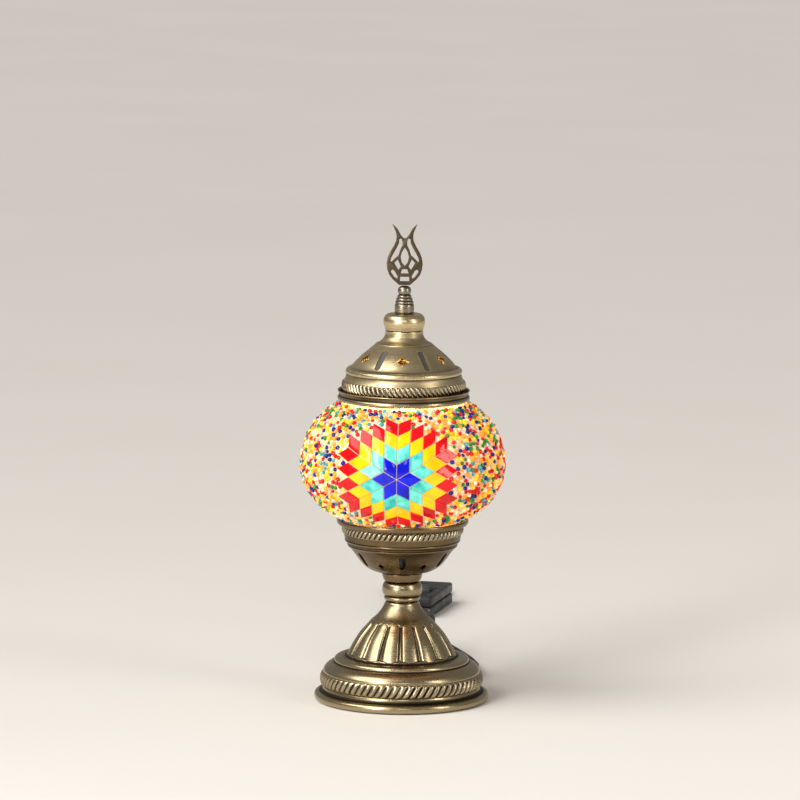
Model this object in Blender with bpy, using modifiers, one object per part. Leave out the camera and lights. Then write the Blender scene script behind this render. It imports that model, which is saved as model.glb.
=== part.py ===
"""Mosaic glass table lamp: a brass base and neck, a tiled glass globe, a pierced cap and a tulip finial.

The lamp stands on z = 0 with its axis on the Z axis and its flex leaving at the back, towards +Y.
Sizes are in millimetres, and the helpers at the top turn them into metres.
"""

from math import acos, cos, pi, radians, sin, sqrt

import bmesh
import bpy
from mathutils import Matrix, Vector

MM = 0.001

# ---------------------------------------------------------------- driving dimensions
GAP = 0.3                 # between pieces that touch
SHEET_WALL = 1.0          # spun and pressed brass sheet

FELT_THICKNESS = 1.4
BOARD_THICKNESS = 1.5
BASE_RADIUS = 53.2        # outer edge of the rolled foot
BASE_HEIGHT = 60.7        # foot to the top of the shell
BASE_STRAIGHT = 16.8      # height of the upright rope band's top
DOME_FOOT_Z = 27.2        # where the fluted dome starts
ROPE_INSET = 3.6          # rope band inside the foot's edge
COVE_INSET = 4.9          # hollow between the foot and the rope band
CONE_TOP_RADIUS = 10.6
WEIGHT_THICKNESS = 4.6
WEIGHT_BORE = 15.0

TUBE_RADIUS = 5.0         # threaded lamp tube
TUBE_BORE = 3.9
TUBE_FIT = 0.4            # clearance of the pieces threaded on the tube
TUBE_BOTTOM_Z = 40.0
NUT_WALL = 3.0            # tube to the corners of its nuts
NUT_HEIGHT = 4.0
WASHER_THICKNESS = 1.2

COLLAR_HEIGHT = 12.0
COLLAR_RADIUS = 12.2
CUP_HEIGHT = 34.3
CUP_INSET = 2.4           # cup rim inside the gallery's edge
CUP_NECK_RADIUS = 11.9
SPACER_WALL = 2.0

GALLERY_RADIUS = 40.0
GALLERY_WALL = 1.0
LOWER_LIP = 2.9           # lip above the floor of the lower gallery
UPPER_LIP = 3.0
SEAL_THICKNESS = 1.0

GLOBE_RADIUS = 62.5       # over the tiles
GLOBE_RISE = 47.2         # widest level to the crown of the full form
GLOBE_DROP = 42.3         # widest level to the bottom of the full form
GLOBE_RISE_POWER = 2.2    # the upper half is a little squarer than an ellipse
TILE_THICKNESS = 2.3
TILE_TOP_INSET = 4.0      # top edge of the mosaic inside the gallery's edge
TILE_FOOT_INSET = -0.5     # its bottom edge stands just over the lower lip
GLASS_WALL = 2.4
GLASS_EDGE_INSET = 6.0    # outside of the glass lips inside the gallery's edge
FOOT_LIP = 1.4            # height of the glass lip at the foot
MOUTH_LIP = 2.0
GLOBE_BAND_WIDTH = 12.5   # globe radius for each profile step in one of its halves

CAP_HEIGHT = 39.0         # seat to the flat under the knob
CAP_INSET = 2.1           # cap rim inside the gallery's edge
CAP_SKIRT_HEIGHT = 5.0
CAP_TRAVEL_CLEARANCE = 0.6
KNOB_RADIUS = 12.6
KNOB_HEIGHT = 10.0
STUD_RADIUS = 2.5
STUD_FIT = 0.08
STUD_ABOVE_KNOB = 8.0
STUD_BELOW_CAP = 7.0
FINIAL_RADIUS = 5.9
FINIAL_BASE_HEIGHT = 16.6
TULIP_HEIGHT = 37.0
TULIP_WIDTH = 21.8
TULIP_THICKNESS = 2.0
STAR_COUNT = 6
STAR_REACH = 4.0          # centre of a star to its long points
STAR_WAIST = 1.3          # centre of a star to its hollow sides

HOLDER_WALL = 4.9
HOLDER_HEIGHT = 27.0
HOLDER_FLOOR = 2.4
SHELL_WALL = 0.5
BULB_CAP_RADIUS = 6.9
BULB_FIT = 0.3
BULB_CAP_HEIGHT = 17.0
BULB_RADIUS = 13.0
BULB_GLASS_HEIGHT = 40.0
BULB_WALL = 0.8
WIRE_RADIUS = 0.95
WIRE_SPREAD = 1.4         # half the distance between the two wires

CORD_DIAMETER = 5.0
CORD_FIT = 0.4
EXIT_AZIMUTH = radians(60.0)
EXIT_Z = 11.6
GLAND_LENGTH = 24.0       # outside the wall
GLAND_WALL = 1.7
GLAND_TIP_WALL = 0.8
CLAMP_DISTANCE = 31.0     # lamp axis to the middle of the clamp
CLAMP_LENGTH = 8.0

HANK_LENGTH = 85.0
HANK_ACROSS = 9.2         # cord diameters across the hank
HANK_LAYERS = 3
HANK_FRONT_Y = 57.5
TIE_WIDTH = 9.0
TIE_THICKNESS = 1.0

SWITCH_LENGTH = 62.0
SWITCH_WIDTH = 23.0
SWITCH_HEIGHT = 14.0
SWITCH_SPLIT = 7.0
SWITCH_WALL = 1.8
SWITCH_CAVITY = 32.0
SWITCH_CENTRE = (15.3, 307.3)
SWITCH_HEADING = radians(76.0)
CORD_ENTRY_Z = 6.4
ROCKER_LENGTH = 19.0
ROCKER_WIDTH = 11.0
ROCKER_FIT = 0.6
ROCKER_TILT = radians(7.0)
SCREW_RADIUS = 1.25
SCREW_HEAD_RADIUS = 2.4
SCREW_HEAD_HEIGHT = 1.4

PLUG_LENGTH = 25.0
PLUG_WIDTH = 19.0
PLUG_HEIGHT = 11.0
PLUG_SLEEVE = 12.0
PLUG_REAR_Y = 116.0
PLUG_X = 11.0             # the plug lies off the hank's middle, so that the tail bends gently
BLADE_LENGTH = 17.0
BLADE_HEIGHT = 6.3
BLADE_THICKNESS = 1.5
BLADE_SPACING = 12.7

WIDE_STEPS = 28           # sides of the wide turned pieces
NARROW_STEPS = 16         # sides of the narrow ones
BULB_STEPS = 20

# ---------------------------------------------------------------- levels worked out from them
BOARD_Z = FELT_THICKNESS + GAP
WEIGHT_Z = BOARD_Z + BOARD_THICKNESS + GAP
WEIGHT_TOP_Z = WEIGHT_Z + WEIGHT_THICKNESS
TUBE_HOLE = TUBE_RADIUS + TUBE_FIT
NUT_RADIUS = TUBE_RADIUS + NUT_WALL
CORD_RADIUS = CORD_DIAMETER / 2
CORD_BORE = CORD_RADIUS + CORD_FIT
CORD_REST_Z = CORD_RADIUS + 0.1
GLAND_RADIUS = CORD_BORE + GLAND_WALL
GLAND_TIP_RADIUS = CORD_BORE + GLAND_TIP_WALL
CUP_RADIUS = GALLERY_RADIUS - CUP_INSET
CAP_RADIUS = GALLERY_RADIUS - CAP_INSET
GLASS_EDGE_RADIUS = GALLERY_RADIUS - GLASS_EDGE_INSET
SEAL_RADIUS = GLASS_EDGE_RADIUS - 0.2
SEAL_BORE = SEAL_RADIUS - GLASS_WALL
SHELL_BORE = BULB_CAP_RADIUS + BULB_FIT
HOLDER_BORE = SHELL_BORE + SHELL_WALL + 0.9
HOLDER_RADIUS = HOLDER_BORE + HOLDER_WALL
COLLAR_Z = BASE_HEIGHT + GAP
CUP_Z = COLLAR_Z + COLLAR_HEIGHT + GAP
CUP_TOP_Z = CUP_Z + CUP_HEIGHT
LOWER_GALLERY_Z = CUP_TOP_Z + GAP
LOWER_SEAL_Z = LOWER_GALLERY_Z + GALLERY_WALL + GAP
HOLDER_Z = LOWER_GALLERY_Z + GALLERY_WALL + GAP + NUT_HEIGHT + GAP
TUBE_TOP_Z = HOLDER_Z + HOLDER_FLOOR - 0.2
CONTACT_Z = HOLDER_Z + HOLDER_FLOOR + 2.0
BULB_TIP_Z = CONTACT_Z + 1.2 + GAP
FOOT_Z = LOWER_SEAL_Z + SEAL_THICKNESS + GAP
GLASS_INSET = TILE_THICKNESS + GAP
GLASS_DROP = (GLOBE_DROP - GLASS_INSET) * sqrt(1 - (GLASS_EDGE_RADIUS / (GLOBE_RADIUS - GLASS_INSET)) ** 2)
GLOBE_LEVEL_Z = FOOT_Z + FOOT_LIP + GLASS_DROP
GLOBE_BANDS = round(GLOBE_RADIUS / GLOBE_BAND_WIDTH)
HANK_WIDTH = HANK_ACROSS * CORD_DIAMETER
HANK_HEIGHT = HANK_LAYERS * CORD_DIAMETER
HANK_Z = TIE_THICKNESS + 2 * GAP
TAIL_Z = HANK_Z + HANK_HEIGHT + TIE_THICKNESS + 2 * GAP + CORD_RADIUS
PLUG_Z = TAIL_Z - CORD_RADIUS + PLUG_HEIGHT / 2


# ---------------------------------------------------------------- collections
def make_collection(name):
    """A collection under the scene's own."""
    collection = bpy.data.collections.new(name)
    bpy.context.scene.collection.children.link(collection)
    return collection


def clear_scene():
    """Empties the scene of whatever objects it holds."""
    for old in list(bpy.data.objects):
        bpy.data.objects.remove(old, do_unlink=True)


clear_scene()
PARTS = make_collection("mosaic_glass_table_lamp")
TOOLS = make_collection("cutters")


# ---------------------------------------------------------------- materials
def make_material(name, colour, roughness, metallic=0.0):
    """A plain Principled finish."""
    material = bpy.data.materials.new(name)
    material.use_nodes = True
    shader = material.node_tree.nodes["Principled BSDF"]
    shader.inputs["Base Color"].default_value = (*colour, 1.0)
    shader.inputs["Roughness"].default_value = roughness
    shader.inputs["Metallic"].default_value = metallic
    return material


ANTIQUE_BRASS = make_material("antique_brass", (0.42, 0.27, 0.10), 0.35, 1.0)
DARK_BRASS = make_material("dark_brass", (0.20, 0.12, 0.05), 0.45, 1.0)
PLAIN_BRASS = make_material("plain_brass", (0.65, 0.48, 0.20), 0.35, 1.0)
STEEL = make_material("zinc_steel", (0.55, 0.56, 0.58), 0.4, 1.0)
CAST_IRON = make_material("cast_iron", (0.08, 0.08, 0.08), 0.7, 1.0)
FELT = make_material("felt", (0.05, 0.12, 0.06), 0.95)
BOARD = make_material("fibreboard", (0.25, 0.16, 0.08), 0.85)
CORK = make_material("cork", (0.45, 0.28, 0.14), 0.9)
GLASS = make_material("frosted_glass", (0.90, 0.88, 0.80), 0.3)
MOSAIC = make_material("mosaic", (0.80, 0.55, 0.18), 0.2)
BAKELITE = make_material("bakelite", (0.03, 0.025, 0.02), 0.35)
BLACK_PVC = make_material("black_pvc", (0.02, 0.02, 0.02), 0.45)
BROWN_WIRE = make_material("brown_wire", (0.20, 0.08, 0.03), 0.5)
BLUE_WIRE = make_material("blue_wire", (0.03, 0.10, 0.45), 0.5)
BULB_GLASS = make_material("bulb_glass", (0.95, 0.92, 0.85), 0.1)


# ---------------------------------------------------------------- helpers
def add_empty(name, at, turn=(0.0, 0.0, 0.0)):
    """A frame that pieces are parented to, placed on an axis or a centre."""
    empty = bpy.data.objects.new(name, None)
    empty.location = Vector(at) * MM
    empty.rotation_euler = turn
    PARTS.objects.link(empty)
    return empty


def settle(obj, material, sharp=35.0):
    """Applies what the object's modifiers make, and shades its round faces smooth."""
    bpy.context.view_layer.update()
    graph = bpy.context.evaluated_depsgraph_get()
    mesh = bpy.data.meshes.new_from_object(obj.evaluated_get(graph))
    if obj.type == "CURVE":
        solid = bpy.data.objects.new(obj.name + "_mesh", mesh)
        solid.matrix_world = obj.matrix_world
        name = obj.name
        bpy.data.objects.remove(obj, do_unlink=True)
        solid.name = name
        PARTS.objects.link(solid)
        obj = solid
        weld(mesh)
    else:
        obj.modifiers.clear()
        obj.data = mesh
    mesh.name = obj.name
    mesh.materials.clear()
    mesh.materials.append(material)
    mesh.shade_smooth()
    mesh.set_sharp_from_angle(angle=radians(sharp))
    return obj


def weld(mesh):
    """Joins points that lie on each other, such as the rims of a curve's caps."""
    shape = bmesh.new()
    shape.from_mesh(mesh)
    bmesh.ops.remove_doubles(shape, verts=shape.verts, dist=0.00001)
    bmesh.ops.recalc_face_normals(shape, faces=shape.faces)
    shape.to_mesh(mesh)
    shape.free()


def attach(obj, parent):
    """Parents an object whose location is already given in the parent's frame."""
    if parent is not None:
        obj.parent = parent


def add_profile(name, points, closed, steps):
    """A half outline of (radius, height) points, spun round the Z axis."""
    mesh = bpy.data.meshes.new(name)
    count = len(points)
    edges = [(i, i + 1) for i in range(count - 1)]
    if closed:
        edges.append((count - 1, 0))
    mesh.from_pydata([(r * MM, 0.0, z * MM) for r, z in points], edges, [])
    obj = bpy.data.objects.new(name, mesh)
    PARTS.objects.link(obj)
    screw = obj.modifiers.new("Turn", "SCREW")
    screw.axis = "Z"
    screw.steps = steps
    screw.render_steps = steps
    screw.use_merge_vertices = True
    screw.merge_threshold = 0.00001
    return obj


def turned_solid(name, points, material, steps=NARROW_STEPS, parent=None):
    """A solid whose closed outline runs down its outer side and up its bore."""
    obj = settle(add_profile(name, points, True, steps), material)
    attach(obj, parent)
    return obj


def turned_core(name, points, material, steps=NARROW_STEPS, parent=None):
    """A solid without a bore: its outline starts and ends on the axis."""
    obj = settle(add_profile(name, points, False, steps), material)
    attach(obj, parent)
    return obj


def turned_shell(name, points, wall, material, steps=WIDE_STEPS, parent=None):
    """A sheet shell: an open outer outline, with its wall inside it."""
    obj = add_profile(name, points, False, steps)
    skin = obj.modifiers.new("Wall", "SOLIDIFY")
    skin.thickness = wall * MM
    skin.offset = -1.0
    skin.use_even_offset = True
    settle(obj, material)
    attach(obj, parent)
    return obj


def ring(name, outer, bore, low, high, material, steps=NARROW_STEPS, parent=None):
    """A plain washer, bush or tube."""
    outline = [(outer, high), (outer, low), (bore, low), (bore, high)]
    return turned_solid(name, outline, material, steps, parent)


def hex_nut(name, bore, low, material, parent=None):
    """A six-sided nut with a round bore."""
    outer = regular_outline(NUT_RADIUS, 6)
    nut = add_plate(name, [outer, regular_outline(bore, NARROW_STEPS)], NUT_HEIGHT)
    nut.rotation_euler = (0.0, 0.0, 0.0)
    nut.location = (0.0, 0.0, (low + NUT_HEIGHT / 2) * MM)
    nut = settle(nut, material)
    attach(nut, parent)


def regular_outline(radius, count):
    """Evenly spaced points on a circle, starting on the X axis."""
    return [(radius * cos(k * 2 * pi / count), radius * sin(k * 2 * pi / count)) for k in range(count)]


def add_box(name, size, at, material, bevel=0.0, parent=None):
    """A block, with its edges rounded where a bevel is given."""
    bpy.ops.mesh.primitive_cube_add(size=1.0)
    obj = bpy.context.object
    obj.name = name
    obj.scale = Vector(size) * MM
    bpy.ops.object.transform_apply(location=False, rotation=False, scale=True)
    obj.location = Vector(at) * MM
    move_to(obj, PARTS)
    if bevel:
        rounding = obj.modifiers.new("Round", "BEVEL")
        rounding.width = bevel * MM
        rounding.segments = 2
    if material is not None:
        settle(obj, material)
    attach(obj, parent)
    return obj


def move_to(obj, collection):
    """Takes an object out of its collections and puts it in one."""
    for old in list(obj.users_collection):
        old.objects.unlink(obj)
    collection.objects.link(obj)


def add_cylinder(radius, low, high, at=(0.0, 0.0), steps=NARROW_STEPS):
    """An upright cylinder, for use as a cutter."""
    bpy.ops.mesh.primitive_cylinder_add(
        vertices=steps,
        radius=radius * MM,
        depth=(high - low) * MM,
        location=(at[0] * MM, at[1] * MM, (low + high) / 2 * MM),
    )
    return bpy.context.object


def add_plate(name, outlines, thickness):
    """A flat sheet standing in the XZ plane: the first outline is its edge, the others are holes."""
    curve = bpy.data.curves.new(name, "CURVE")
    curve.dimensions = "2D"
    curve.fill_mode = "BOTH"
    curve.extrude = thickness / 2 * MM
    for outline in outlines:
        spline = curve.splines.new("POLY")
        spline.points.add(len(outline) - 1)
        for point, (x, z) in zip(spline.points, outline):
            point.co = (x * MM, z * MM, 0.0, 1.0)
        spline.use_cyclic_u = True
    obj = bpy.data.objects.new(name, curve)
    obj.rotation_euler = (pi / 2, 0.0, 0.0)
    PARTS.objects.link(obj)
    return obj


def smooth_route(points, step):
    """Points about a step apart on a smooth curve through the given ones."""
    given = [Vector(p) for p in points]
    ends = [2 * given[0] - given[1]] + given + [2 * given[-1] - given[-2]]
    route = []
    for before, start, end, after in zip(ends, ends[1:], ends[2:], ends[3:]):
        pieces = max(1, round((end - start).length / step))
        for k in range(pieces):
            t = k / pieces
            bend = 0.5 * (end - before) * t
            bend += 0.5 * (2 * before - 5 * start + 4 * end - after) * t * t
            bend += 0.5 * (3 * start - before - 3 * end + after) * t * t * t
            route.append(start + bend)
    route.append(given[-1])
    return route


def tube_along(name, points, radius, material, step, parent=None):
    """A round wire or cord along a smooth route, with closed ends."""
    curve = bpy.data.curves.new(name, "CURVE")
    curve.dimensions = "3D"
    curve.bevel_depth = radius * MM
    curve.bevel_resolution = 2
    curve.use_fill_caps = True
    route = smooth_route(points, step)
    spline = curve.splines.new("POLY")
    spline.points.add(len(route) - 1)
    for point, place in zip(spline.points, route):
        point.co = (*(place * MM), 1.0)
    obj = bpy.data.objects.new(name, curve)
    PARTS.objects.link(obj)
    attach(obj, parent)
    curve.materials.append(material)
    return obj


def cut(obj, cutter, operation="DIFFERENCE"):
    """Cuts, or joins, a cutter with an object and hides the cutter."""
    move_to(cutter, TOOLS)
    cutter.hide_render = True
    cutter.display_type = "WIRE"
    join = obj.modifiers.new("Cut", "BOOLEAN")
    join.operation = operation
    join.solver = "EXACT"
    join.object = cutter
    material = obj.data.materials[0]
    settle(obj, material)


def heading_point(distance, azimuth, z):
    """A point at a distance from the lamp's axis, in a compass direction."""
    return (distance * cos(azimuth), distance * sin(azimuth), z)


# ---------------------------------------------------------------- base
def base_outline():
    """Outer outline of the foot, rope band, bulge and dome, from the top down."""
    rope = BASE_RADIUS - ROPE_INSET
    dome = BASE_RADIUS - 20.0
    shoulder = BASE_RADIUS - 13.0
    span = dome - CONE_TOP_RADIUS
    rise = BASE_HEIGHT - DOME_FOOT_Z
    outline = [(TUBE_HOLE, BASE_HEIGHT), (CONE_TOP_RADIUS, BASE_HEIGHT)]
    for share, height in ((0.04, 0.89), (0.22, 0.73), (0.53, 0.51), (0.78, 0.31), (0.91, 0.125)):
        outline.append((CONE_TOP_RADIUS + share * span, DOME_FOOT_Z + height * rise))
    outline += [
        (dome, DOME_FOOT_Z),
        (shoulder, DOME_FOOT_Z - 1.6),
        (rope - 6.1, BASE_STRAIGHT + 5.6),
        (rope - 2.8, BASE_STRAIGHT + 2.2),
        (rope, BASE_STRAIGHT),
        (rope, 9.0),
        (BASE_RADIUS - COVE_INSET, 7.5),
        (BASE_RADIUS - 2.7, 5.2),
        (BASE_RADIUS, 3.6),
        (BASE_RADIUS, 1.6),
        (BASE_RADIUS - 1.4, GAP),
    ]
    return outline


def make_base():
    """Spun shell, its closing board and felt, and the weight that keeps it steady."""
    shell = turned_shell("base_shell", base_outline(), SHEET_WALL, ANTIQUE_BRASS)
    hole = add_cylinder(GLAND_TIP_RADIUS + CORD_FIT, -6.0, 6.0)
    hole.matrix_world = gland_frame(BASE_RADIUS - ROPE_INSET)
    cut(shell, hole)
    inner = BASE_RADIUS - COVE_INSET - SHEET_WALL - 1.0
    ring("base_weight", inner, WEIGHT_BORE, WEIGHT_Z, WEIGHT_TOP_Z, CAST_IRON, WIDE_STEPS)
    disc("base_board", inner, BOARD_Z, BOARD_Z + BOARD_THICKNESS, BOARD)
    disc("felt_pad", inner, 0.0, FELT_THICKNESS, FELT)


def disc(name, radius, low, high, material):
    """A full round plate on the lamp's axis."""
    turned_core(name, [(0.0, high), (radius, high), (radius, low), (0.0, low)], material, WIDE_STEPS)


def gland_frame(distance):
    """A frame at the flex exit with its Z axis pointing out of the base."""
    out = Vector((cos(EXIT_AZIMUTH), sin(EXIT_AZIMUTH), 0.0))
    turn = Vector((0.0, 0.0, 1.0)).rotation_difference(out).to_matrix().to_4x4()
    place = Vector(heading_point(distance, EXIT_AZIMUTH, EXIT_Z)) * MM
    return Matrix.Translation(place) @ turn


def make_flex_anchor():
    """Tapered strain relief in the wall, and the clamp that holds the flex inside."""
    bore = CORD_BORE
    wall = BASE_RADIUS - ROPE_INSET
    neck = GLAND_TIP_RADIUS
    outline = [
        (GLAND_TIP_RADIUS, wall + GLAND_LENGTH),
        (GLAND_RADIUS, wall + 3.5),
        (GLAND_RADIUS, wall + GAP + 0.3),
        (neck, wall + GAP + 0.3),
        (neck, wall - SHEET_WALL - GAP - 2.0),
        (bore, wall - SHEET_WALL - GAP - 2.0),
        (bore, wall + GLAND_LENGTH),
    ]
    gland = turned_solid("strain_relief", outline, BLACK_PVC)
    gland.matrix_world = gland_frame(0.0)
    clamp_height = EXIT_Z + bore + 2.0 - WEIGHT_TOP_Z - GAP
    clamp = add_box(
        "cord_clamp",
        (CLAMP_LENGTH, 22.0, clamp_height),
        heading_point(CLAMP_DISTANCE, EXIT_AZIMUTH, WEIGHT_TOP_Z + GAP + clamp_height / 2),
        STEEL,
    )
    clamp.rotation_euler = (0.0, 0.0, EXIT_AZIMUTH)
    passage = add_cylinder(bore, -12.0, 12.0)
    passage.matrix_world = gland_frame(CLAMP_DISTANCE)
    cut(clamp, passage)
    for number, side in enumerate((-1, 1), start=1):
        make_clamp_screw(f"clamp_screw_{number}", side, clamp, clamp_height)


def make_clamp_screw(name, side, clamp, height):
    """A pan-head screw beside the flex, through the clamp into its own hole."""
    head_z = WEIGHT_TOP_Z + GAP + height + GAP
    along = side * 7.5
    centre = Vector(heading_point(CLAMP_DISTANCE, EXIT_AZIMUTH, 0.0))
    across = Vector((-sin(EXIT_AZIMUTH), cos(EXIT_AZIMUTH), 0.0))
    spot = centre + across * along
    hole = add_cylinder(SCREW_RADIUS + GAP, 0.0, 40.0, (spot.x, spot.y), 8)
    cut(clamp, hole)
    screw = turned_core(name, screw_outline(head_z, WEIGHT_TOP_Z + GAP + 0.4), STEEL, 12)
    screw.location = (spot.x * MM, spot.y * MM, 0.0)


def screw_outline(head_z, tip_z):
    """Half outline of a small round-headed screw standing on its tip."""
    return [
        (0.0, head_z + SCREW_HEAD_HEIGHT),
        (SCREW_HEAD_RADIUS, head_z + SCREW_HEAD_HEIGHT * 0.5),
        (SCREW_HEAD_RADIUS, head_z),
        (SCREW_RADIUS, head_z),
        (SCREW_RADIUS, tip_z),
        (0.0, tip_z),
    ]


# ---------------------------------------------------------------- stem
def make_stem():
    """Threaded tube, the nut under the shell, the collar, the cup and its spacer."""
    ring("lamp_tube", TUBE_RADIUS, TUBE_BORE, TUBE_BOTTOM_Z, TUBE_TOP_Z, STEEL)
    washer_top = BASE_HEIGHT - SHEET_WALL - GAP
    washer_low = washer_top - WASHER_THICKNESS
    ring("base_washer", CONE_TOP_RADIUS - SHEET_WALL - GAP, TUBE_HOLE, washer_low, washer_top, STEEL)
    hex_nut("base_nut", TUBE_HOLE, washer_low - GAP - NUT_HEIGHT, STEEL)
    top = COLLAR_Z + COLLAR_HEIGHT
    collar = [
        (COLLAR_RADIUS - 1.4, top),
        (COLLAR_RADIUS - 0.3, top - 2.4),
        (COLLAR_RADIUS, COLLAR_Z + 6.4),
        (COLLAR_RADIUS - 1.2, COLLAR_Z + 3.2),
        (COLLAR_RADIUS - 1.9, COLLAR_Z + 2.8),
        (COLLAR_RADIUS - 1.2, COLLAR_Z + 1.5),
        (COLLAR_RADIUS - 2.1, COLLAR_Z),
        (TUBE_HOLE, COLLAR_Z),
        (TUBE_HOLE, top),
    ]
    turned_solid("neck_collar", collar, DARK_BRASS, 24)
    cup = turned_shell("lower_cup", cup_outline(), SHEET_WALL, DARK_BRASS)
    cut_stars(cup, CUP_RADIUS - 12.5, CUP_Z + 13.0, radians(47.0), radians(30.0))
    spacer_low = CUP_Z + SHEET_WALL + GAP
    ring("cup_spacer", TUBE_HOLE + SPACER_WALL, TUBE_HOLE, spacer_low, CUP_TOP_Z, STEEL)
    hex_nut("holder_nut", TUBE_HOLE, LOWER_GALLERY_Z + GALLERY_WALL + GAP, STEEL)


def cup_outline():
    """Outer outline of the lower cup, from its rim down to the collar."""
    low = CUP_Z
    span = CUP_RADIUS - CUP_NECK_RADIUS
    rise = CUP_HEIGHT
    outline = [
        (CUP_RADIUS - 0.2, CUP_TOP_Z),
        (CUP_RADIUS, CUP_TOP_Z - 2.5),
        (CUP_RADIUS - 0.7, CUP_TOP_Z - 5.2),
    ]
    for share, height in ((0.915, 0.79), (0.84, 0.65), (0.705, 0.533), (0.494, 0.309), (0.354, 0.213)):
        outline.append((CUP_NECK_RADIUS + share * span, low + height * rise))
    outline += [
        (CUP_NECK_RADIUS + 3.2, low + 5.4),
        (CUP_NECK_RADIUS, low + 3.4),
        (CUP_NECK_RADIUS - 0.9, low),
        (TUBE_HOLE, low),
    ]
    return outline


def cut_stars(shell, distance, z, slope, first):
    """Pierces a ring of four-pointed stars square to a sloping wall."""
    for number in range(STAR_COUNT):
        azimuth = first + number * 2 * pi / STAR_COUNT
        outline = []
        for k in range(8):
            reach = STAR_REACH if k % 2 == 0 else STAR_WAIST * sqrt(2)
            angle = k * pi / 4
            outline.append((reach * cos(angle), reach * sin(angle)))
        star = add_plate("star", [outline], 9.0)
        star = settle(star, ANTIQUE_BRASS)
        stand = Matrix.Rotation(azimuth + pi / 2, 4, "Z") @ Matrix.Rotation(slope, 4, "X")
        place = Matrix.Translation(Vector(heading_point(distance, azimuth, z)) * MM)
        star.matrix_world = place @ stand
        cut(shell, star)


# ---------------------------------------------------------------- globe
def globe_outline(inset, top_radius, foot_radius, mouth_lip=0.0, foot_lip=0.0):
    """Half outline of the globe, an inset below the face of the tiles, from its mouth down to its foot."""
    wide = GLOBE_RADIUS - inset
    outline = []
    for sign, rise, power, edge, lip in (
        (1, GLOBE_RISE - inset, GLOBE_RISE_POWER, top_radius, mouth_lip),
        (-1, GLOBE_DROP - inset, 2.0, foot_radius, foot_lip),
    ):
        last = acos((edge / wide) ** (power / 2))
        half = []
        for k in range(GLOBE_BANDS + 1):
            angle = last * k / GLOBE_BANDS
            radius = wide * cos(angle) ** (2 / power)
            height = rise * sin(angle) ** (2 / power)
            half.append((radius, GLOBE_LEVEL_Z + sign * height))
        if lip:
            half.append((edge - 0.2, half[-1][1] + sign * lip))
        outline += list(reversed(half)) if sign > 0 else half[1:]
    return outline


def make_globe():
    """Blown glass globe with short lips, and the mosaic laid on it."""
    glass = globe_outline(GLASS_INSET, GLASS_EDGE_RADIUS, GLASS_EDGE_RADIUS, MOUTH_LIP, FOOT_LIP)
    turned_shell("globe_glass", glass, GLASS_WALL, GLASS)
    tiles = globe_outline(0.0, GALLERY_RADIUS - TILE_TOP_INSET, GALLERY_RADIUS - TILE_FOOT_INSET)
    turned_shell("mosaic_layer", tiles, TILE_THICKNESS, MOSAIC)
    return glass[0][1]


def make_galleries(mouth):
    """The two dished rings that grip the globe, and their cork seals. Gives the level the cap sits on."""
    ring("lower_seal", SEAL_RADIUS, SEAL_BORE, LOWER_SEAL_Z, LOWER_SEAL_Z + SEAL_THICKNESS, CORK, WIDE_STEPS)
    lower = [
        (GALLERY_RADIUS, LOWER_GALLERY_Z + GALLERY_WALL + LOWER_LIP),
        (GALLERY_RADIUS, LOWER_GALLERY_Z + 1.2),
        (GALLERY_RADIUS - 1.6, LOWER_GALLERY_Z),
        (TUBE_HOLE, LOWER_GALLERY_Z),
        (TUBE_HOLE, LOWER_GALLERY_Z + GALLERY_WALL),
        (GALLERY_RADIUS - 1.6, LOWER_GALLERY_Z + GALLERY_WALL),
        (GALLERY_RADIUS - 0.9, LOWER_GALLERY_Z + GALLERY_WALL + LOWER_LIP),
    ]
    turned_solid("lower_gallery", lower, ANTIQUE_BRASS, WIDE_STEPS)
    seal_z = mouth + GAP
    ring("upper_seal", SEAL_RADIUS, SEAL_BORE, seal_z, seal_z + SEAL_THICKNESS, CORK, WIDE_STEPS)
    floor_z = seal_z + SEAL_THICKNESS + GAP
    upper = [
        (GALLERY_RADIUS, floor_z + GALLERY_WALL + UPPER_LIP),
        (GALLERY_RADIUS + 0.2, floor_z + 0.4),
        (GALLERY_RADIUS - 1.4, floor_z - 0.8),
        (SEAL_BORE, floor_z),
        (SEAL_BORE, floor_z + GALLERY_WALL),
        (GALLERY_RADIUS - 1.4, floor_z + GALLERY_WALL),
        (GALLERY_RADIUS - 0.9, floor_z + GALLERY_WALL + UPPER_LIP),
    ]
    turned_solid("upper_gallery", upper, ANTIQUE_BRASS, WIDE_STEPS)
    return floor_z + GALLERY_WALL + GAP


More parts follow.
